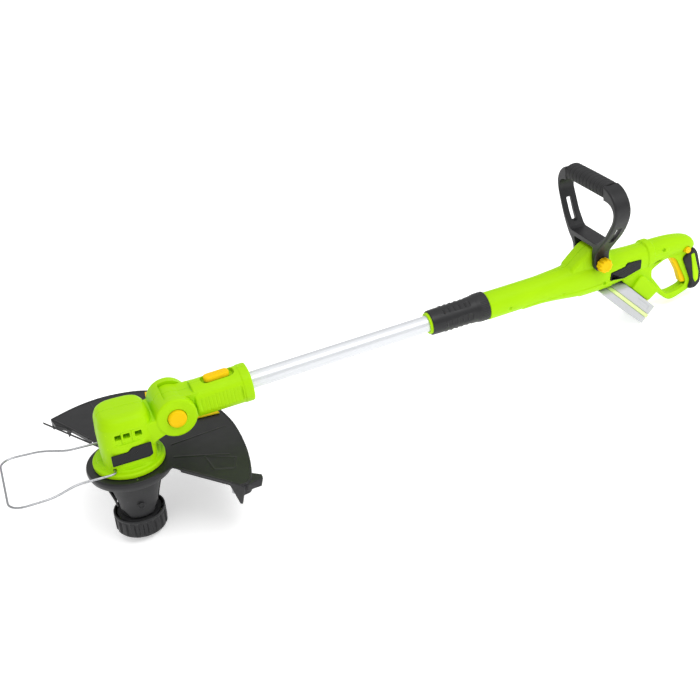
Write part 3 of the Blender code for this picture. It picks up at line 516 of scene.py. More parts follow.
CAD_LOOKS = {
    "dark_plastic": DEEP, "black_plastic": BLACK, "steel": STEEL, "copper": COPPER, "trimmer_line": LINE,
    "lime_plastic": LIME, "yellow_plastic": YELLOW, "black_rubber": RUBBER, "satin_aluminium": ALU,
    "badge_black": BADGE, "battery_grey": GREY, "battery_green": PALE_LIME, "battery_yellow": PALE_YELLOW,
}
slot_of = {s["node"]: s.get("material_slot") for s in frame["record"]["subparts"]}
for node_name, node in frame["nodes"].items():
    look = CAD_LOOKS.get(slot_of.get(node_name), DEEP)
    if node_name == "motor_can":
        look = DEEP
    if node.material_slots:
        for ms in node.material_slots:
            ms.link = "OBJECT"
            ms.material = look
    else:
        node.data.materials.append(look)


# ---------------------------------------------------------------- screws
def screw_solid(x, y, z, axis, s, head_r=2.9, shank_r=1.6, length=4.0, sink=1.2):
    at = {"X": (0, y, z), "Y": (x, 0, z), "Z": (x, y, 0)}[axis]
    face = {"X": x, "Y": y, "Z": z}[axis]
    seat = face - s * (sink - 0.3)
    profile = [(0, -length), (shank_r, -length), (shank_r, 0), (head_r, 0), (head_r, 0.9)]
    profile += [(head_r - 0.3, 1.3), (head_r - 0.8, 1.65), (head_r - 1.5, 1.8), (0, 1.85)]
    profile = [(r, seat + s * h) for r, h in profile]
    body = turned(profile, axis, at, 32)
    h0, h1 = sorted((seat + s * 0.8, seat + s * 4))
    a, b = head_r * 0.62, 0.42
    cross = []
    for u, v in (((a, b)), ((b, a))):
        if axis == "Y":
            cross.append(block(x - u, x + u, h0, h1, z - v, z + v))
        elif axis == "X":
            cross.append(block(h0, h1, y - u, y + u, z - v, z + v))
        else:
            cross.append(block(x - u, x + u, y - v, y + v, h0, h1))
    return cut(body, *cross)


def well(x, y, z, axis, s, r=3.2, sink=1.2, reach=6.0):
    at = {"X": (0, y, z), "Y": (x, 0, z), "Z": (x, y, 0)}[axis]
    face = {"X": x, "Y": y, "Z": z}[axis]
    h0, h1 = sorted((face - s * sink, face + s * reach))
    return rod(r, h0, h1, axis, at, 32)


def bat(d, n, y=0.0):
    return BAT_D * d + BAT_N * n + Vector((0, y, 0))


# ---------------------------------------------------------------- shaft
tube = turned(
    [(11.3, -206.0), (12.2, -206.0), (12.5, -205.6), (12.5, 404.6), (12.2, 405.0), (11.3, 405.0)], "X", n=128
)
piece("tube_satin", tube, "shaft", ["shaft_tube"], ALU)

# ---------------------------------------------------------------- upper housing
SECTIONS = (
    (243.0, -2.0, 21.0, 21.0, 2.0),
    (330.0, -2.0, 21.0, 21.0, 2.0),
    (350.0, -2.3, 21.6, 22.0, 2.1),
    (372.0, -3.0, 22.6, 24.0, 2.2),
    (392.0, -4.0, 24.0, 26.3, 2.4),
    (440.0, -4.0, 24.0, 26.3, 2.5),
    (470.0, -3.5, 22.5, 25.0, 2.5),
    (500.0, -2.0, 20.0, 22.0, 2.5),
    (530.0, 0.5, 18.3, 19.5, 2.5),
    (560.0, 2.5, 17.0, 16.5, 2.5),
    (585.0, 1.5, 15.8, 14.5, 2.4),
    (603.0, -2.0, 13.5, 12.0, 2.3),
    (611.0, -5.0, 8.5, 6.5, 2.2),
)


def section_at(x):
    """The housing's section at x, on a smooth curve through SECTIONS."""
    s = SECTIONS
    i = max(k for k in range(len(s) - 1) if s[k][0] <= x or k == 0)
    p0, p1, p2, p3 = s[max(i - 1, 0)], s[i], s[i + 1], s[min(i + 2, len(s) - 1)]
    h = p2[0] - p1[0]
    t = (x - p1[0]) / h
    out = []
    for c in range(1, 5):
        m1 = (p2[c] - p0[c]) / max(p2[0] - p0[0], 1e-6) * h
        m2 = (p3[c] - p1[c]) / max(p3[0] - p1[0], 1e-6) * h
        t2, t3 = t * t, t * t * t
        out.append((2 * t3 - 3 * t2 + 1) * p1[c] + (t3 - 2 * t2 + t) * m1 + (-2 * t3 + 3 * t2) * p2[c] + (t3 - t2) * m2)
    return out


def hull_loft(x0, x1, step=6.0, grow=0.0, n=SEG):
    count = max(2, int((x1 - x0) / step))
    rows = []
    for k in range(count + 1):
        x = x0 + (x1 - x0) * k / count
        zc, hw, hh, p = section_at(x)
        rows.append([(x, y, zc + z) for y, z in superellipse(hw + grow, hh + grow, p, n)])
    return loft(rows)


LOOP_OUT = [(505, 6), (596, 6), (607, -4), (609, -20), (613, -62), (610, -77), (600, -83), (571, -92), (560, -89), (535, -61), (510, -36)]
LOOP_IN = [(527, -32), (537, -24), (560, -14.5), (577, -19), (597, -66), (592, -75), (566, -80), (556, -76)]
GRIP_OUT = [(601, -13.5), (608, -8), (615, -18), (623, -55), (621, -74), (611, -82), (598, -80), (603, -66), (588, -23)]
NECK = [(478, -8), (530, -8), (526.7, -33.4), (535, -56), (520, -68), (487.3, -41.0), (474, -26.8)]
FOOT = [(503, -24.5), (509, -25), (536, -57), (534, -61), (517, -72.3), (487.3, -41.0)]
BADGE_U = rounded([(446.1, -12.8), (448.2, -0.4), (474.2, 1.9), (478.9, 6.3), (505.3, 3.7), (503.4, -11.2), (476.8, -16.2), (471.3, -17.2)], 1.5, 4)
SCREWS = ((275.0, 19.6, -7.0), (365.0, 21.4, -12.0), (436.0, 22.4, -14.0), (548.0, 16.6, 6.0))


def upper_body():
    body = hull_loft(243.0, 603.0, 5.0)
    tip = loft([[(x, y, zc + z) for y, z in superellipse(hw, hh, p)] for x, zc, hw, hh, p in ((598.0, -0.8, 14.4, 12.9, 2.3), (603.0, -2.0, 13.5, 12.0, 2.3), (607.5, -3.4, 11.4, 9.7, 2.25), (610.0, -4.6, 9.4, 7.4, 2.2), (611.0, -5.0, 8.0, 6.0, 2.2))])
    hump = []
    for x, top, hw in ((380, 16, 15), (386, 24, 17.5), (399, 34, 18.3), (412, 43.5, 19), (418, 46.9, 19.2), (424, 48.0, 19.3), (442, 48.0, 19.3), (446, 46.6, 19.0), (449, 43, 18.5), (454, 20, 17)):
        outline = rounded([(-hw, -5), (hw, -5), (hw, top), (-hw, top)], [0, 0, 7, 7], 8)
        hump.append([(x, y, z) for y, z in outline])
    loop = cut(pillow(rounded(LOOP_OUT, 9), -9.0, 9.0, 2.4), prism(rounded(LOOP_IN, 9), -20, 20))
    neck = pillow(rounded(NECK, [0, 0, 6, 4, 4, 0, 0]), -16.0, 16.0, 1.5)
    foot = pillow(rounded(FOOT, [3, 3, 3, 3, 4, 3]), -21.5, 21.5, 1.6)
    ridge = loft([[(x, y, zc + z) for y, z in superellipse(hw, hh, 2.5)] for x, zc, hw, hh in ((517, 0.5, 16.5, 19), (520, 0.5, 20.5, 22.6), (530, 1.5, 20.0, 21.8), (533, 1.5, 16, 18))])
    parts = [tip, loft(hump), loop, neck, foot, ridge]
    # the panel along each flank, from the belly to the badge, proud by half a millimetre
    for s in (-1, 1):
        panel = prism(rounded([(300, -14.5), (452, -14.5), (452, -31), (398, -31), (392, -24.0), (300, -24.0)], [4, 4, 2, 3, 3, 4], 4), *sorted((2 * s, 26.0 * s)))
        shell = hull_loft(298.0, 454.0, 8.0, 1.2)
        parts.append(combine(panel, shell, "INTERSECT"))
        # the raised blank plate above the trigger loop
        panel = prism(rounded([(523, 2.0), (558, 2.0), (558, 9.0), (523, 9.0)], 2.5, 4), *sorted((2 * s, 30 * s)))
        shell = hull_loft(515.0, 570.0, 6.0, 0.9)
        parts.append(combine(panel, shell, "INTERSECT"))
    body = union(body, *parts)
    cuts = [
        rod(16.6, 240, 264, "X", (0, 0, 0), 64),
        rod(17.5, 262, 440, "X", (0, 0, -1.0), 48),
        block(444, 548, -14.5, 14.5, -16, 13),
        block(419, 440, -15.5, 15.5, 33, 42),
        rod(3.5, -40, 40, "Y", HANDLE_PIVOT, 32),
        rod(5.4, -30, 30, "Y", BOLT_AT, 48),
    ]
    corners = [bat(343.5, 320), bat(420, 320), bat(420, 333.5), bat(343.5, 333.5)]
    cuts.append(prism([(c.x, c.z) for c in corners], -14.0, 14.0))
    cuts.append(prism([(564, -11.5), (577, -5.5), (588, -8), (608, -66), (603, -73.5), (584, -72)], -6.6, 6.6))
    # the slit behind the hump, on each flank
    for s in (-1, 1):
        cuts.append(prism([(402.5, 18.0), (404.5, 18.0), (407.0, 29.0), (405.0, 29.0)], *sorted((17.8 * s, 40 * s))))
    return cut(body, *cuts)


shell = upper_body()
left, right = half(copy_of(shell), -1, 0.14), half(shell, 1, 0.14)


def taper_plate(outline, y_in, y_out, side):
    """A plate on the housing's tapering flank: y_in and y_out are its faces at x = 447."""
    rows = []
    for y in (y_in, y_out):
        rows.append([(x, side * (y - (x - 447.0) * 0.0643), z) for x, z in outline])
    return loft(rows)


left = cut(left, taper_plate(BADGE_U, 21.6, 40.0, -1))
right = cut(right, taper_plate(BADGE_U, 21.6, 40.0, 1))
for i, (x, y, z) in enumerate(SCREWS):
    right = cut(right, well(x, y, z, "Y", 1, 3.2, 1.5))
    left = cut(left, rod(3.0, -40.0, -y + 1.5, "Y", (x, 0, z), 32))
    piece("screw_upper_%d" % (i + 1), screw_solid(x, y, z, "Y", 1, length=3.2, sink=1.5), "handle", ["housing_screw_%d" % (i + 1)], STEEL)
piece("shell_upper_left", softened(left, 0.72, 3), "handle", ["housing_left"], LIME, 0)
piece("shell_upper_right", softened(right, 0.72, 3), "handle", ["housing_right"], LIME, 0)


def badge_solid(outline, y_in, y_out, s):
    """A blank plate with a bevelled rim and a slightly sunk field."""
    rim = pillow(shrunk(outline, 0.35), y_in * s, y_out * s, 0.45, steps=3, ends=(False, True))
    field = prism(shrunk(outline, 1.5), *sorted(((y_out - 0.25) * s, (y_out + 3) * s)))
    return cut(rim, field)


for s, name in ((-1, "left"), (1, "right")):
    rim = loft(
        [
            [(x, s * (y - (x - 447.0) * 0.0643), z) for x, z in shrunk(BADGE_U, d)]
            for y, d in ((21.95, 0.35), (24.25, 0.35), (24.55, 0.48), (24.7, 0.8))
        ]
    )
    rim = cut(rim, taper_plate(shrunk(BADGE_U, 1.6), 24.45, 30.0, s))
    piece("plate_upper_" + name, rim, "handle", ["badge_" + name], BADGE)

bush = turned(
    [(12.8, 146.5), (15.5, 146.5), (15.9, 146.7), (16.2, 147.2), (16.2, 261.3), (16.0, 261.5), (12.8, 261.5)], "X", n=96
)
piece("ring_guide", bush, "handle", ["guide_bush"], LIME)

# ---------------------------------------------------------------- rear grip
grip = pillow(rounded(GRIP_OUT, 5), -14.5, 14.5, 4.2, steps=6)
grip = cut(grip, prism(shrunk(rounded(LOOP_OUT, 8, 3), -0.35), -9.4, 9.4))
tail = [[(x, y, zc + z) for y, z in superellipse(hw + 0.4, hh + 0.4, p)] for x, zc, hw, hh, p in SECTIONS[-5:]]
grip = cut(grip, loft(tail))
INLAY = rounded([(601.5, -18.5), (607.5, -17.5), (616.0, -53), (615.3, -65.5), (610, -70.5), (606.0, -62), (603.5, -34)], 1.5, 4)
for s in (-1, 1):
    grip = cut(grip, prism(shrunk(INLAY, -0.3), *sorted((13.4 * s, 20 * s))))
for k in range(7):
    # shallow finger lines round the back of the grip
    z = -22.0 - 8.0 * k
    x = 614.8 + (-18 - z) * 0.216
    grip = cut(grip, rod(0.75, -16, 16, "Y", (x + 0.5, 0, z), 12))
grip = softened(grip, 0.5, 3)
piece("grip_rear_rubber", grip, "handle", ["rear_grip"], RUBBER, 0)
for s, name in ((-1, "left"), (1, "right")):
    piece("inlay_" + name, pillow(INLAY, 13.7 * s, 15.0 * s, 0.5, steps=3, ends=(False, True)), "handle", ["grip_inlay_" + name], LIME)

# ---------------------------------------------------------------- trigger and safety bolt
TRIG = [(565.5, -15), (569.5, -13.6), (579, -10.5), (584.5, -12), (600.8, -64.5), (597, -69.3), (588.2, -67.5), (582, -46), (573.5, -28)]
trig = pillow(rounded(TRIG, 2.4, 6), -5.9, 5.9, 1.9, steps=5)
piece("trigger_lever", softened(trig, 0.45, 3), "trigger", ["trigger"], YELLOW, 0)
bolt = turned(
    [(0, -18.6), (3.4, -18.6)] + arc(3.9, -17.5, 1.1, -90, 0) + arc(3.9, 17.5, 1.1, 0, 90) + [(3.4, 18.6), (0, 18.6)], "Y", BOLT_AT, 48
)
for s in (-1, 1):
    bolt = cut(bolt, ring(1.6, 2.2, *sorted((18.2 * s, 20 * s)), "Y", BOLT_AT, 32))
piece("safety_pin", bolt, "safety", ["safety_bolt"], YELLOW)

# ---------------------------------------------------------------- twist lock collar
lock = turned(
    [(16.6, 150.0), (17.7, 149.7), (18.3, 150.1), (18.6, 151.0), (18.9, 158), (19.4, 180), (20.3, 218), (20.7, 222.5), (21.6, 226.5), (22.0, 229.5), (22.0, 240.6), (21.7, 241.8), (21.0, 242.5), (16.6, 242.5)],
    "X",
    n=128,
)
for q in range(6):
    t = math.radians(30 + 60 * q)
    for x0, x1, zlo in ((165.0, 214.0, 19.0),):
        g = prism(rounded([(x0, -5.7), (x1, -5.7), (x1, 5.7), (x0, 5.7)], 3.2, 6), zlo, 26.0, "Z")
        g.data.transform(Matrix.Rotation(t, 4, "X"))
        lock = cut(lock, g)
    for rr in range(5):
        x = 172.0 + 8.6 * rr
        g = rod(0.9, -4.2, 4.2, "Y", (x, 0, 19.0), 16)
        g.data.transform(Matrix.Rotation(t, 4, "X"))
        lock = union(lock, g)
for q in range(48):
    t = 2 * math.pi * q / 48
    g = block(228.5, 241.2, -0.5, 0.5, 21.55, 24.0)
    g.data.transform(Matrix.Rotation(t, 4, "X"))
    lock = cut(lock, g)
piece("collar_twist", softened(lock, 0.42, 2), "lock", ["lock_collar"], BLACK, 0)

# ---------------------------------------------------------------- front handle
OUTER = [
    (31, 12), (31, 42), (43, 54), (57, 80), (70, 120), (70, 136), (62, 151), (48, 161), (10, 164), (-20, 164),
    (-60, 162), (-77, 154), (-88, 138), (-88, 119), (-72, 89), (-41, 54), (-31, 42), (-31, 12),
]
INNER = [(36, 62), (50, 82), (65, 120), (62, 134), (52, 140), (-68, 140), (-78, 135), (-81.5, 125), (-78, 112), (-58, 82), (-36, 62)]
LOWER = [(22.9, 0), (22.9, 44), (26, 54), (-26, 54), (-22.9, 44), (-22.9, 0)]
GRIP_Y0, GRIP_Y1 = -56.0, 44.0
bow = pillow(rounded(OUTER, [6, 8, 8, 20, 14, 12, 12, 14, 0, 0, 14, 14, 16, 16, 20, 8, 8, 6]), 415.0, 441.0, 2.6, "X", 5)
bow = cut(bow, prism(rounded(INNER, 6), 400, 460, "X"), prism(rounded(LOWER, [0, 4, 4, 4, 4, 0]), 400, 460, "X"))
# the long slots of the legs
bow = cut(bow, prism([(-30, 70), (-58, 100), (-95, 100), (-70, 70)], 424, 432, "X"))
bow = cut(bow, prism([(30, 70), (44, 104), (80, 104), (66, 70)], 424, 432, "X"))
bow = cut(bow, block(436.0, 450, GRIP_Y0, GRIP_Y1, 130, 175), block(400, 420.0, GRIP_Y0, GRIP_Y1, 130, 175))
bow = cut(bow, block(400, 460, GRIP_Y0, GRIP_Y1, 160.0, 175), block(400, 460, GRIP_Y0, GRIP_Y1, 130, 144.0))
for s in (-1, 1):
    bow = cut(bow, rod(3.5, *sorted((s * 20, s * 40)), "Y", HANDLE_PIVOT, 32))
EYE = [(410, 5), (446, 5), (446, 25)] + [(428 + 13.0 * math.cos(a), 25 - 13.0 * math.sin(a)) for a in [math.pi * q / 12 for q in range(13)]] + [(410, 25)]
bow = cut(bow, prism(EYE, -50, 50))
bow = softened(bow, 0.6, 6)
piece("handle_front_bow", bow, "front", ["front_handle"], BLACK, 0)
rings = []
count = 11
steps = 8
for q in range(count * steps + 1):
    f = q / (count * steps)
    y = GRIP_Y0 + 0.3 + (GRIP_Y1 - GRIP_Y0 - 0.6) * f
    phase = (q % steps) / steps
    groove = -1.15 * max(0.0, 1 - abs(phase - 0.5) / 0.16) if 0.02 < f < 0.98 else 0.0
    end = -0.9 * max(0.0, 1 - min(f, 1 - f) / 0.02)
    belly = 0.35 * math.sin(math.pi * f)
    g = groove + end + belly - 0.35
    row = []
    for u, v in superellipse(14.5 + g, 12.6 + g, 2.3, 64):
        # the ribs fade out on the underside
        if v < -6:
            u, v = u * (14.3 / (14.5 + g)), v * (12.4 / (12.6 + g))
        row.append((428 + u, y, 152.0 + v))
    rings.append(row)
sleeve = cut(loft(rings), block(419.6, 436.4, -80, 60, 143.6, 160.4))
piece("grip_front_rubber", softened(sleeve, 0.5, 3), "front", ["front_grip"], RUBBER, 0)
bolt = turned([(0, -41), (3.0, -41), (3.0, 31.5), (0, 31.5)], "Y", HANDLE_PIVOT, 32)
hexa = [(HANDLE_PIVOT.x + 6.0 * math.cos(a), HANDLE_PIVOT.z + 6.0 * math.sin(a)) for a in [math.pi / 3 * q for q in range(6)]]
bolt = union(bolt, pillow(hexa, 31.4, 36.0, 0.7, steps=3, ends=(False, True)))
piece("bolt_handle", bolt, "front", ["handle_bolt"], STEEL)


def knob_solid():
    n, rows = 160, []
    for y, r, depth in ((-31.6, 10.0, 0.08), (-32.2, 10.8, 0.13), (-33.4, 11.5, 0.17), (-40.0, 11.4, 0.17), (-41.8, 10.8, 0.16), (-42.9, 9.9, 0.12), (-43.5, 8.6, 0.05), (-43.6, 7.4, 0.0)):
        row = []
        for i in range(n):
            t = 2 * math.pi * i / n
            w = (0.5 - 0.5 * math.cos(10 * t)) ** 2
            rr = r * (1 - depth * w)
            row.append(HANDLE_PIVOT + Vector((math.cos(t) * rr, y, math.sin(t) * rr)))
        rows.append(row)
    knob = cut(loft(rows), rod(3.35, -41.5, -20, "Y", HANDLE_PIVOT, 32))
    knob = cut(knob, turned([(0, -43.2), (5.6, -43.2), (6.0, -46), (0, -46)], "Y", HANDLE_PIVOT, 48))
    return knob


piece("knob_clamp", knob_solid(), "knob", ["handle_knob"], YELLOW, 40)

# ---------------------------------------------------------------- battery
W = 28.0
N0, N1, N2, N3, D_END = 294.1, 304.6, 311.0, 327.0, 420.6


def line_at_z(n_val, z):
    return (n_val * BAT_N.z - z) / -BAT_D.z


def layer_outline(n_lo, n_hi, z_top, d_end, inset=0.0, corner=3.0):
    pts = [bat(line_at_z(n_lo, z_top) + inset, n_lo), bat(line_at_z(n_hi, z_top) + inset, n_hi), bat(d_end, n_hi), bat(d_end, n_lo)]
    return [(p.x, p.z) for p in pts]


def box_layer(n_lo, n_hi, w, z_top, d_end, corner, inset=0.0):
    """One layer of the pack, its upright edges rounded in plan (d across y)."""
    d0, d1 = line_at_z(n_lo, z_top) + inset, d_end
    outline = rounded([(d0, -w), (d1, -w), (d1, w), (d0, w)], corner, 8)
    rows = []
    for n_val, s in ((n_lo, 0.8), (n_lo + 0.8, 0.0), (n_hi - 0.8, 0.0), (n_hi, 0.8)):
        start = line_at_z(n_val, z_top) + inset - d0
        row = []
        for d, y in (shrunk(outline, s) if s else outline):
            share = (d1 - d) / (d1 - d0)
            row.append(bat(d + start * share, n_val, y))
        rows.append(row)
    return loft(rows)


tray = box_layer(N0, N1, W, -32.0, D_END, 7)
for q in range(9):
    d = 352.0 + 6.4 * q
    c = [bat(d, N0 - 2), bat(d + 2.4, N0 - 2), bat(d + 2.4, N0 + 0.7), bat(d, N0 + 0.7)]
    tray = cut(tray, prism([(p.x, p.z) for p in c], -19, 19))
tray = cut(tray, prism(layer_outline(N0 + 2.5, N1 + 5, -36.0, D_END - 2.5, 2.0), -W + 2.5, W - 2.5))
piece("pack_tray", softened(tray, 0.5, 2), "battery", ["battery_tray"], GREY, 0)
band = box_layer(N1 + 0.3, N2 - 0.3, W + 0.5, -31.6, D_END + 0.5, 7)
band = cut(band, prism(layer_outline(N1 - 5, N2 + 5, -36.0, D_END - 2.5, 2.0), -W + 2.5, W - 2.5))
piece("pack_band", softened(band, 0.5, 2), "battery", ["battery_band"], PALE_LIME, 0)
top = box_layer(N2, N3, W, -32.0, D_END, 7)
c = [bat(352, N3 - 2), bat(403, N3 - 2), bat(403, 332.8), bat(352, 332.8)]
rail = pillow([(p.x, p.z) for p in c], -13.4, 13.4, 0.8, steps=3)
top = union(top, rail)
for s in (-1, 1):
    # sunk panels on the pack's flanks
    c = [bat(378, N2 + 4), bat(408, N2 + 4), bat(408, N3 - 4.5), bat(378, N3 - 4.5)]
    top = cut(top, prism(rounded([(p.x, p.z) for p in c], 2, 4), *sorted(((W - 0.8) * s, 40 * s))))
top = cut(top, prism(layer_outline(N2 - 5, N3 - 2.5, -36.0, D_END - 2.5, 2.0), -W + 2.5, W - 2.5))
c = [bat(409, 323.0), bat(418.2, 323.0), bat(418.2, 340), bat(409, 340)]
top = cut(top, prism([(p.x, p.z) for p in c], -8.4, 8.4))
piece("pack_top", softened(top, 0.5, 2), "battery", ["battery_top"], GREY, 0)
c = [bat(409.4, 325.6), bat(417.8, 325.6), bat(418.4, 342), bat(416.0, 346), bat(411.0, 346), bat(409.4, 343)]
latch = pillow([(p.x, p.z) for p in c], -8.0, 8.0, 1.2, steps=4)
for q in range(3):
    p = bat(411.6 + 1.9 * q, 346.0)
    latch = cut(latch, rod(0.55, -6.0, 6.0, "Y", (p.x, 0, p.z), 12))
piece("pack_latch", latch, "latch", ["battery_latch"], PALE_YELLOW, 30)

# ---------------------------------------------------------------- lower collar
rings = []
for x, r in ((-214.0, 23.5), (-213.4, 24.5), (-212.0, 25.2), (-145.0, 25.8), (-144.3, 26.1), (-143.5, 26.6), (-133.6, 26.6), (-132.0, 26.2), (-131.0, 25.2)):
    rings.append([(x, y, z) for y, z in superellipse(r, r, 2.35)])
collar = loft(rings)
tongue = prism([(-244.3, -19.3), (-206.5, -17), (-206.5, 19), (-244.3, 20.7)], -20.7, 20.7)
disc = rod(24.6, -21.2, 21.2, "Y", PIVOT, 96)
collar = union(collar, tongue, disc)
collar = cut(
    collar,
    rod(17.4, -205.0, -141.0, "X", n=64),
    rod(12.9, -210.0, -120.0, "X", n=64),
    rod(4.3, -40, 40, "Y", PIVOT, 32),
    prism(rounded([(-198, -10.5), (-150, -10.5), (-150, 10.5), (-198, 10.5)], 9), 19.4, 40, "Z"),
)
for s in (-1, 1):
    # the sunk flank and the ribs standing in it
    collar = cut(collar, prism(rounded([(-208.8, -18.5), (-147.0, -18.5), (-147.0, 13.0), (-208.8, 13.0)], 1.5, 3), *sorted((24.0 * s, 40 * s))))
    for q in range(12):
        x = -206.6 + 5.2 * q
        slit = prism([(x - 0.45, 23.4 * s), (x + 0.45, 23.4 * s), (x + 0.45, 40 * s), (x - 0.45, 40 * s)], -16.5, 11.8, "Z")
        collar = cut(collar, slit)
    # a line along the top on each side
    collar = cut(collar, block(-211.0, -145.0, *sorted((19.6 * s, 20.4 * s)), 15.6, 30))
cl, cr = half(copy_of(collar), -1, 0.14), half(collar, 1, 0.14)
for i, (x, y, z) in enumerate(((-209.5, 20.0, 15.0), (-139.0, 26.5, 0.0))):
    cr = cut(cr, well(x, y, z, "Y", 1, 2.6, 1.5))
    piece("screw_collar_%d" % (i + 1), screw_solid(x, y, z, "Y", 1, head_r=2.3, length=4.0, sink=1.5), "collar", ["collar_screw_%d" % (i + 1)], STEEL)
piece("shell_collar_left", softened(cl, 0.45, 3), "collar", ["collar_left"], LIME, 0)
piece("shell_collar_right", softened(cr, 0.45, 3), "collar", ["collar_right"], LIME, 0)
rows = []
plan = rounded([(-193.5, -7.5), (-156.5, -7.5), (-156.5, 7.5), (-193.5, 7.5)], 7.4, 10)
for z, d in ((22.4, 0.0), (27.2, 0.0), (28.0, 0.25), (28.7, 0.8), (29.2, 1.6), (29.5, 2.6), (29.6, 3.6)):
    rows.append([(x, y, z) for x, y in (shrunk(plan, d) if d else plan)])
button = loft(rows)
for q in range(5):
    button = cut(button, rod(0.45, -4.6, 4.6, "Y", (-183.0 + 4.0 * q, 0, 29.7), 12))
piece("button_swivel", button, "swivel_button", ["swivel_button"], YELLOW, 30)

# ---------------------------------------------------------------- head housing
PV = HEAD.inverted() @ PIVOT
BADGE_H = rounded([(-27.5, 15.5), (24, 17.5), (29.5, 21), (29, 40.5), (2, 38.5), (-4, 33), (-27.5, 32.5)], 2, 5)


def head_body():
    rows = []
    keys = ((-4, 37, 38, 1), (20, 38, 39.5, 1), (45, 38, 39, 0.5), (67, 37.0, 37.6, 0.5), (68.5, 36.7, 37.2, 0.5), (75.5, 34.2, 33.8, 0.5), (77, 33.3, 32.8, 0.5), (80.4, 30.2, 29.3, 0.9), (81.6, 28.2, 27.4, 1.1), (82.4, 24.0, 23.5, 1.6), (82.8, 20, 20, 2))
    for z, hx, hy, cx in keys:
        rows.append([(cx + x, y, z) for x, y in superellipse(hx, hy, 3.4)])
    box = loft(rows)
    flange = turned([(0, -4), (49.3, -4), (50.0, -3.6), (FLANGE_R, -3), (FLANGE_R, 1.6), (49.8, 2.9), (48.6, 3.6), (47.0, 4.0), (44.5, 4.2), (43.5, 6.2), (42.4, 6.6), (0, 6.6)], "Z", n=160)
    web = pillow(rounded([(16, 20), (30, 27), (39, 34.5), (55, 41), (PV.x + 8, 48), (PV.x, 76), (50, 67), (20, 62)], [0, 6, 6, 6, 0, 4, 8, 0]), -33.5, 33.5, 2.5)
    ears = turned([(0, -EAR_Y1)] + arc(EAR_R - 3.5, -EAR_Y1 + 3.5, 3.5, -90, 0, 6) + arc(EAR_R - 3.5, EAR_Y1 - 3.5, 3.5, 0, 90, 6) + [(0, EAR_Y1)], "Y", PV, 128)
    body = union(box, flange, web, ears)
    body = cut(
        body,
        rod(27.2, -21.8, 21.8, "Y", PV, 96),
        prism([(PV.x, PV.z - 24), (PV.x + 60, PV.z - 24), (PV.x + 60, PV.z + 60), (PV.x - 12, PV.z + 60), (PV.x - 12, PV.z + 20)], -21.8, 21.8),
        rod(20.0, -20, 62.5, "Z", n=64),
        rod(9.4, 60, 72, "Z", n=48),
        rod(4.3, -29, 33.6, "Y", PV, 32),
        rod(13.6, -60, -27.0, "Y", PV, 64),
        ring(16.1, 17.0, -60, -34.3, "Y", PV, 96),
    )
    for s in (-1, 1):
        a, b = sorted((s * 36.8, s * 60))
        c, d = sorted((s * 15, s * 60))
        body = cut(body, prism(rounded([(-27, 44.5), (27, 46), (27, 65), (-27, 63.5)], 3), a, b))
        for x, w in ((-17.5, 8.5), (-5.8, 9.0), (10.0, 9.4)):
            body = cut(body, prism(rounded([(x, 52.6), (x + w, 52.9), (x + w, 60.4), (x, 60.1)], 0.8, 3), c, d))
        # mullions beside the slots, and short louvres under them
        for x in (-8.6, 5.6):
            body = union(body, prism([(x, 47.5), (x + 2.2, 47.5), (x + 2.2, 62.5), (x, 62.5)], *sorted((s * 35.5, s * 38.2))))
        a, b = sorted((s * 38.4, s * 60))
        body = cut(body, prism(BADGE_H, a, b))
        a, b = sorted((s * 28, s * 60))
        body = cut(body, rod(2.1, a, b, "Y", (-25, 0, WIRE_Z), 24))
        # the hollow in the flange where the wire turns in
        g = rod(4.2, *sorted((s * 38.2, s * 47.5)), "Y", (-26.5, 0, WIRE_Z + 0.8), 32)
        body = cut(body, g)
    return body


hb = head_body()
hl, hr = half(copy_of(hb), -1, 0.14), half(hb, 1, 0.14)
hr = cut(hr, well(24.0, 34.5, 70.0, "Y", 1, 3.2, 2.0), well(-31.5, 36.5, 38.0, "Y", 1, 3.2, 2.0))
piece("screw_head_1", moved(screw_solid(24.0, 34.5, 70.0, "Y", 1, length=6.0, sink=2.0), HEAD), "head", ["head_screw_1"], STEEL)
piece("screw_head_2", moved(screw_solid(-31.5, 36.5, 38.0, "Y", 1, length=4.5, sink=2.0), HEAD), "head", ["head_screw_2"], STEEL)
piece("shell_head_left", moved(softened(hl, 0.5, 3), HEAD), "head", ["head_left"], LIME, 0)
piece("shell_head_right", moved(softened(hr, 0.5, 3), HEAD), "head", ["head_right"], LIME, 0)
for s, name in ((-1, "left"), (1, "right")):
    piece("plate_head_" + name, moved(badge_solid(BADGE_H, 38.75, 40.6, s), HEAD), "head", ["head_badge_" + name], BADGE)

# ---------------------------------------------------------------- guard
WING = [
    (20, -48), (34, -55), (50, -45), (59, -55), (112, -116), (124, -131), (137, -127), (146, -104), (152, -78), (157, -40),
    (158.5, 10), (154, 50), (143, 88), (122, 124), (92, 155), (56, 178), (20, 187), (-15, 187), (-50, 178), (-87, 161),
    (-83, 142), (-64, 121), (-42, 78), (-30, 50),
]


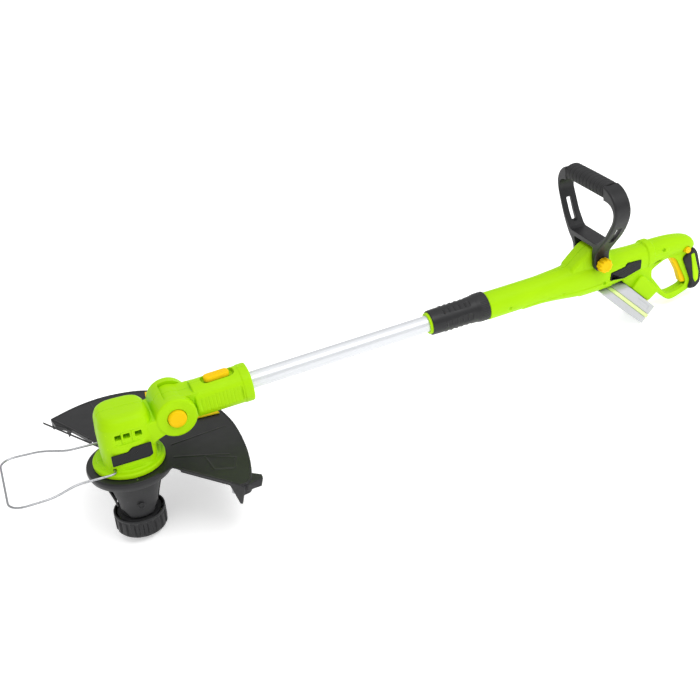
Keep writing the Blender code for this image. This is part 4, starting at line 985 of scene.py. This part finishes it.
def guard_solid():
    outer_curve = smooth_path([(x, y, 0) for x, y in WING[5:20]], 5)
    wing = WING[:5] + [(p.x, p.y) for p in outer_curve] + WING[20:]
    plate = prism(wing, -8.0, -4.6, "Z")
    disc = turned([(0, -9.5), (56, -9.5), (56.5, -18), (58.5, -18), (60.2, -14), (61.0, -11), (60.8, -7), (GUARD_RING_R, -4.9), (59.4, -4.6), (0, -4.6)], "Z", n=128)
    outer = [(p.x, p.y) for p in outer_curve]
    inner = []
    for p in outer:
        q = Vector(p)
        inner.append(tuple(q - q.normalized() * 3.2))
    wall = prism(outer + inner[::-1], -22.0, -6.0, "Z")
    near = prism([(57, -52), (59, -55), (112, -116), (124, -131), (126, -129), (113, -112.5)], -11.5, -6, "Z")
    far = prism([(-87, 161), (-83, 142), (-64, 121), (-42, 78), (-39.5, 79), (-61.5, 121), (-80.5, 142), (-84, 158)], -11.5, -6, "Z")
    along, side = Vector((0.625, -0.781, 0.0)), Vector((0.781, 0.625, 0.0))

    def fin_row(s0, s1, z):
        p = Vector((112.0, -116.0, z))
        return [p + along * s0 - side * 0.3, p + along * s1 - side * 0.3, p + along * s1 + side * 2.3, p + along * s0 + side * 2.3]

    fin = loft([fin_row(-4, 23.0, -6), fin_row(2, 21.5, -16), fin_row(12.5, 16.0, -37)])
    fin2 = loft([[(-70, 127, -6), (-67.5, 126, -6), (-62, 117, -6), (-64.5, 118, -6)], [(-68.5, 125.5, -20), (-67, 125, -20), (-66, 123, -20), (-67.4, 123.5, -20)]])
    boss = loft(
        [
            [(138, -112, -16), (153, -119, -16), (151.5, -129.7, -16), (131.2, -131.8, -16), (126, -124, -16)],
            [(138, -103, -5), (156.5, -118, -5), (155.5, -127, -5), (133, -134, -5), (124, -126, -5)],
        ]
    )
    g = union(plate, disc, wall, near, far, fin, fin2, boss)
    # the raised rim along the outer edge, the strengthening ribs and the framed blank field
    rim = []
    for p in outer:
        q = Vector(p)
        rim.append(tuple(q - q.normalized() * 2.2))
    extra = [prism(outer + rim[::-1], -8.0, -3.7, "Z")]

    def bar(a, b, w, z0=-7.0, z1=-3.7):
        a, b = Vector(a), Vector(b)
        d = (b - a).normalized()
        n = Vector((-d.y, d.x)) * w / 2
        return prism([tuple(a + n), tuple(a - n), tuple(b - n), tuple(b + n)], z0, z1, "Z")

    for a, b in (((60, -58), (114, -119)), ((-44, 82), (-62, 118)), ((-62, 118), (-84, 158))):
        extra.append(bar(a, b, 1.8))
    for deg, r0, r1 in ((-22, 62, 140), (8, 62, 146), (98, 62, 184), (122, 62, 186)):
        c, s = math.cos(math.radians(deg)), math.sin(math.radians(deg))
        extra.append(bar((r0 * c, r0 * s), (r1 * c, r1 * s), 1.6, -7.0, -4.0))
    field = [(97, -42), (136, -64), (128, -88), (101, -79)]
    for i in range(4):
        extra.append(bar(field[i - 1], field[i], 1.2, -7.0, -4.0))
    g = union(g, *extra)
    g = cut(g, rod(47.0, -40, 10, "Z", n=96))
    for y in (52.5, -52.5):
        g = cut(g, rod(1.9, -20, 0, "Z", (0, y, 0), 24))
    return g


guard = softened(guard_solid(), 0.62, 3)
piece("guard_black", moved(guard, HEAD), "head", ["guard"], BLACK, 0)
INSERT = [(113, 57), (146, 56), (140, 80), (119, 115), (90, 146), (58, 168), (56, 155), (82, 133), (102, 106), (111, 80)]
piece("guard_strip", moved(pillow(INSERT, -3.6, -1.6, 0.5, "Z", 3, (False, True)), HEAD), "head", ["guard_insert"], YELLOW)
for i, y in enumerate((52.5, -52.5)):
    s = turned([(0, -13.0), (2.6, -13.0), (2.9, -12.7), (2.9, -9.9), (1.6, -9.9), (1.6, -4.9), (0, -4.9)], "Z", (0, y, 0), 32)
    s = cut(s, block(-1.7, 1.7, y - 0.4, y + 0.4, -14, -12.0), block(-0.4, 0.4, y - 1.7, y + 1.7, -14, -12.0))
    piece("screw_guard_%d" % (i + 1), moved(s, HEAD), "head", ["guard_screw_%d" % (i + 1)], STEEL)
blade = prism([(113.5, -113.4), (121.0, -122.8), (121.8, -122.2), (114.3, -112.8)], -26, -12.2, "Z")
piece("cutter_blade", moved(bevelled(blade, 0.2, 2), HEAD), "head", ["line_cutter"], STEEL)

# ---------------------------------------------------------------- shroud over the spool
SHROUD = smooth_path([(45.6, -9.9, 0), (45.0, -18, 0), (40.5, -36, 0), (34.5, -56, 0), (31.2, -70, 0), (30.2, -84, 0)], 4)
out = [(p.x, p.y) for p in SHROUD]
shroud = turned(out + [(r - 2.6, z) for r, z in out[::-1]], "Z", n=160)
for a in (0, 180):
    for s in (-1, 1):
        w = prism(rounded([(s * 9, -74), (s * 15, -74), (s * 24, -34), (s * 20, -24), (s * 9, -24)], 1.5), 0, 80, "X")
        w.data.transform(Matrix.Rotation(math.radians(a), 4, "Z"))
        shroud = cut(shroud, w)
for a in (90, -90):
    for s in (-1, 1):
        w = prism([(s * 13, -90), (s * 44, -90), (s * 44, -71), (s * 24, -71), (s * 19, -78)], 0, 60, "X")
        w.data.transform(Matrix.Rotation(math.radians(a), 4, "Z"))
        shroud = cut(shroud, w)
    # a screw boss low on each face, sunk into the wall
    t = -1 if a < 0 else 1
    boss = turned([(0, 31.6), (5.4, 31.6), (5.4, 36.4), (4.9, 36.9), (3.4, 36.9), (3.0, 35.6), (0, 35.6)], "Y", (0, 0, -60.5), 48)
    if t < 0:
        boss.data.transform(Matrix.Scale(-1, 4, Vector((0, 1, 0))))
        boss.data.flip_normals()
    shroud = union(shroud, boss)
shroud = softened(shroud, 0.48, 3)
piece("shroud_spool", moved(shroud, HEAD), "head", ["spool_shroud"], BLACK, 0)

# ---------------------------------------------------------------- spool
spool = turned([(8.4, -108.0), (32.6, -108.0), (33.0, -107.6), (33.0, -106.4), (32.6, -106.0), (20.0, -106.0), (20.0, -89.8), (31.1, -89.8), (31.5, -89.4), (31.5, -88.2), (31.1, -87.8), (8.4, -87.8)], "Z", n=96)
piece("spool_inner", moved(spool, HEAD), "spinner", ["line_spool"], DEEP)
prof = []
for q in range(9):
    z = -105.3 + 1.75 * q
    prof += [(29.0, z - 0.2), (30.0, z + 0.25), (30.3, z + 0.75), (30.0, z + 1.25)]
wound = turned([(20.3, -105.6)] + prof + [(29.0, -90.3), (20.3, -90.2)], "Z", n=96)
piece("line_wound", moved(wound, HEAD), "spinner", ["wound_line"], LINE)


def cap_solid():
    n, rows = 360, []
    flutes = 18
    for z, r, depth in ((CAP_BOTTOM, 24.0, 0), (CAP_BOTTOM, 29.6, 0), (-117.6, 31.2, 0), (-116.4, 33.2, 0), (-115.0, 34.8, 0.0), (-113.6, 36.0, 0.4), (-112.2, 36.8, 1.0), (-110.0, CAP_R, 1.0), (-94.0, CAP_R, 1.0), (-92.0, 36.9, 0.5), (-90.4, 36.4, 0.0), (-89.2, 37.0, 0.0), (-87.0, 36.9, 0), (CAP_TOP, 36.0, 0)):
        row = []
        for i in range(n):
            t = 2 * math.pi * i / n
            w = 0.5 - 0.5 * math.cos(flutes * t)
            w = max(0.0, min(1.0, (w - 0.35) / 0.3))
            w = w * w * (3 - 2 * w)
            rr = r - depth * 2.0 * w
            row.append((rr * math.cos(t), rr * math.sin(t), z))
        rows.append(row)
    cap = loft(rows)
    cap = cut(cap, rod(34.2, -108.9, -60, "Z", n=96))
    # the bump knob's rings underneath, and the line's two outlets
    cap = cut(cap, turned([(17, -117.4), (19, -117.4), (19, -121), (17, -121)], "Z", n=64))
    for a in (0, 180):
        eye = rod(2.0, 30, 42, "X", (0, 0, -98.0), 24)
        eye.data.transform(Matrix.Rotation(math.radians(a + 10), 4, "Z"))
        cap = cut(cap, eye)
    return cap


piece("cap_spool", moved(cap_solid(), HEAD), "spinner", ["spool_cap"], BLACK, 40)

# ---------------------------------------------------------------- tilt button and wire guard
button = turned([(0, -40.0), (7.4, -40.0), (9.4, -39.9), (10.8, -39.6), (11.8, -39.0), (12.5, -38.2), (12.9, -37.2), (12.9, -31.4), (0, -31.4)], "Y", PIVOT, 96)
piece("button_tilt", button, "tilt_button", ["tilt_button"], YELLOW, 30)
PATH = [(-25, -31), (-25, -41.5), (-31, -44.5), (-78, -44.5), (-112, -61), (-157, -63.5), (-169, -52)]
flat = rounded(PATH + [(x, -y) for x, y in PATH[::-1]], [0, 4, 8, 10, 12, 14, 8, 8, 14, 12, 10, 8, 4, 0], 9)
wire = swept([Vector((x, y, WIRE_Z)) for x, y in flat], WIRE_R, 20)
piece("guard_wire_bent", moved(wire, HEAD), "wire", ["guard_wire"], STEEL)

for leftover in list(bpy.data.objects):
    if leftover.name.startswith("work"):
        bpy.data.objects.remove(leftover)

# ---------------------------------------------------------------- floor, light and camera
scene = bpy.context.scene
scene.view_settings.view_transform = "Standard"
floor_mesh = bpy.data.meshes.new("floor")
floor_mesh.from_pydata([(-30, -30, 0), (30, -30, 0), (30, 30, 0), (-30, 30, 0)], [], [(0, 1, 2, 3)])
floor = bpy.data.objects.new("floor", floor_mesh)
floor.location.z = -0.0006
scene.collection.objects.link(floor)
k = Look("floor_pale", specular=0.1)
k.colour(k.mix(k.noise(0.8, 2), srgb(250, 250, 250), srgb(251, 251, 251)))
k.s.inputs["Roughness"].default_value = 0.9
k.s.inputs["Emission Color"].default_value = (1.0, 1.0, 1.0, 1.0)
k.s.inputs["Emission Strength"].default_value = 0.42
floor_mesh.materials.append(k.m)

world = bpy.data.worlds.new("studio")
world.use_nodes = True
world.node_tree.nodes["Background"].inputs["Color"].default_value = (1.0, 1.0, 1.0, 1.0)
world.node_tree.nodes["Background"].inputs["Strength"].default_value = 0.68
scene.world = world


def area_light(name, at, aim, size, power):
    light = bpy.data.lights.new(name, "AREA")
    light.shape = "RECTANGLE"
    light.size, light.size_y = size
    light.energy = power
    obj = bpy.data.objects.new(name, light)
    obj.location = at
    obj.rotation_mode = "QUATERNION"
    obj.rotation_quaternion = (Vector(aim) - Vector(at)).to_track_quat("-Z", "Y")
    scene.collection.objects.link(obj)


area_light("key", (0.7, -1.3, 2.3), (0, 0, 0.1), (1.5, 1.1), 24)
area_light("top", (0.3, 0.5, 2.4), (0, 0, 0.1), (2.6, 2.0), 11)
area_light("side", (1.8, -1.2, 1.1), (0.1, 0, 0.1), (1.4, 1.2), 5)

shaft_dir = Vector((0.926, -0.2975, 0.259)).normalized()
across = Vector((-0.359, -0.432, 0.827))
across = (across - shaft_dir * across.dot(shaft_dir)).normalized()
upward = shaft_dir.cross(across)
# rows: the camera's right, down and forward, in the shaft's frame
to_camera = Matrix((
    (shaft_dir.x, across.x, upward.x),
    (shaft_dir.y, across.y, upward.y),
    (shaft_dir.z, across.z, upward.z),
))
FOCAL = 1083.0
offset = Vector((-15.0 / FOCAL, 3.2 / FOCAL, 1.0)) * 1560.0
eye = -(to_camera.transposed() @ offset)
turn = STANCE.to_3x3()
columns = [turn @ to_camera[0], turn @ -to_camera[1], turn @ -to_camera[2]]
basis = Matrix(columns).transposed().to_4x4()
camera = bpy.data.cameras.new("camera")
camera.sensor_width = 36.0
camera.lens = FOCAL / 700.0 * 36.0
camera.clip_start, camera.clip_end = 0.05, 60.0
camera_object = bpy.data.objects.new("camera", camera)
camera_object.matrix_world = Matrix.Translation((STANCE @ eye) * 0.001) @ basis
scene.collection.objects.link(camera_object)
scene.camera = camera_object
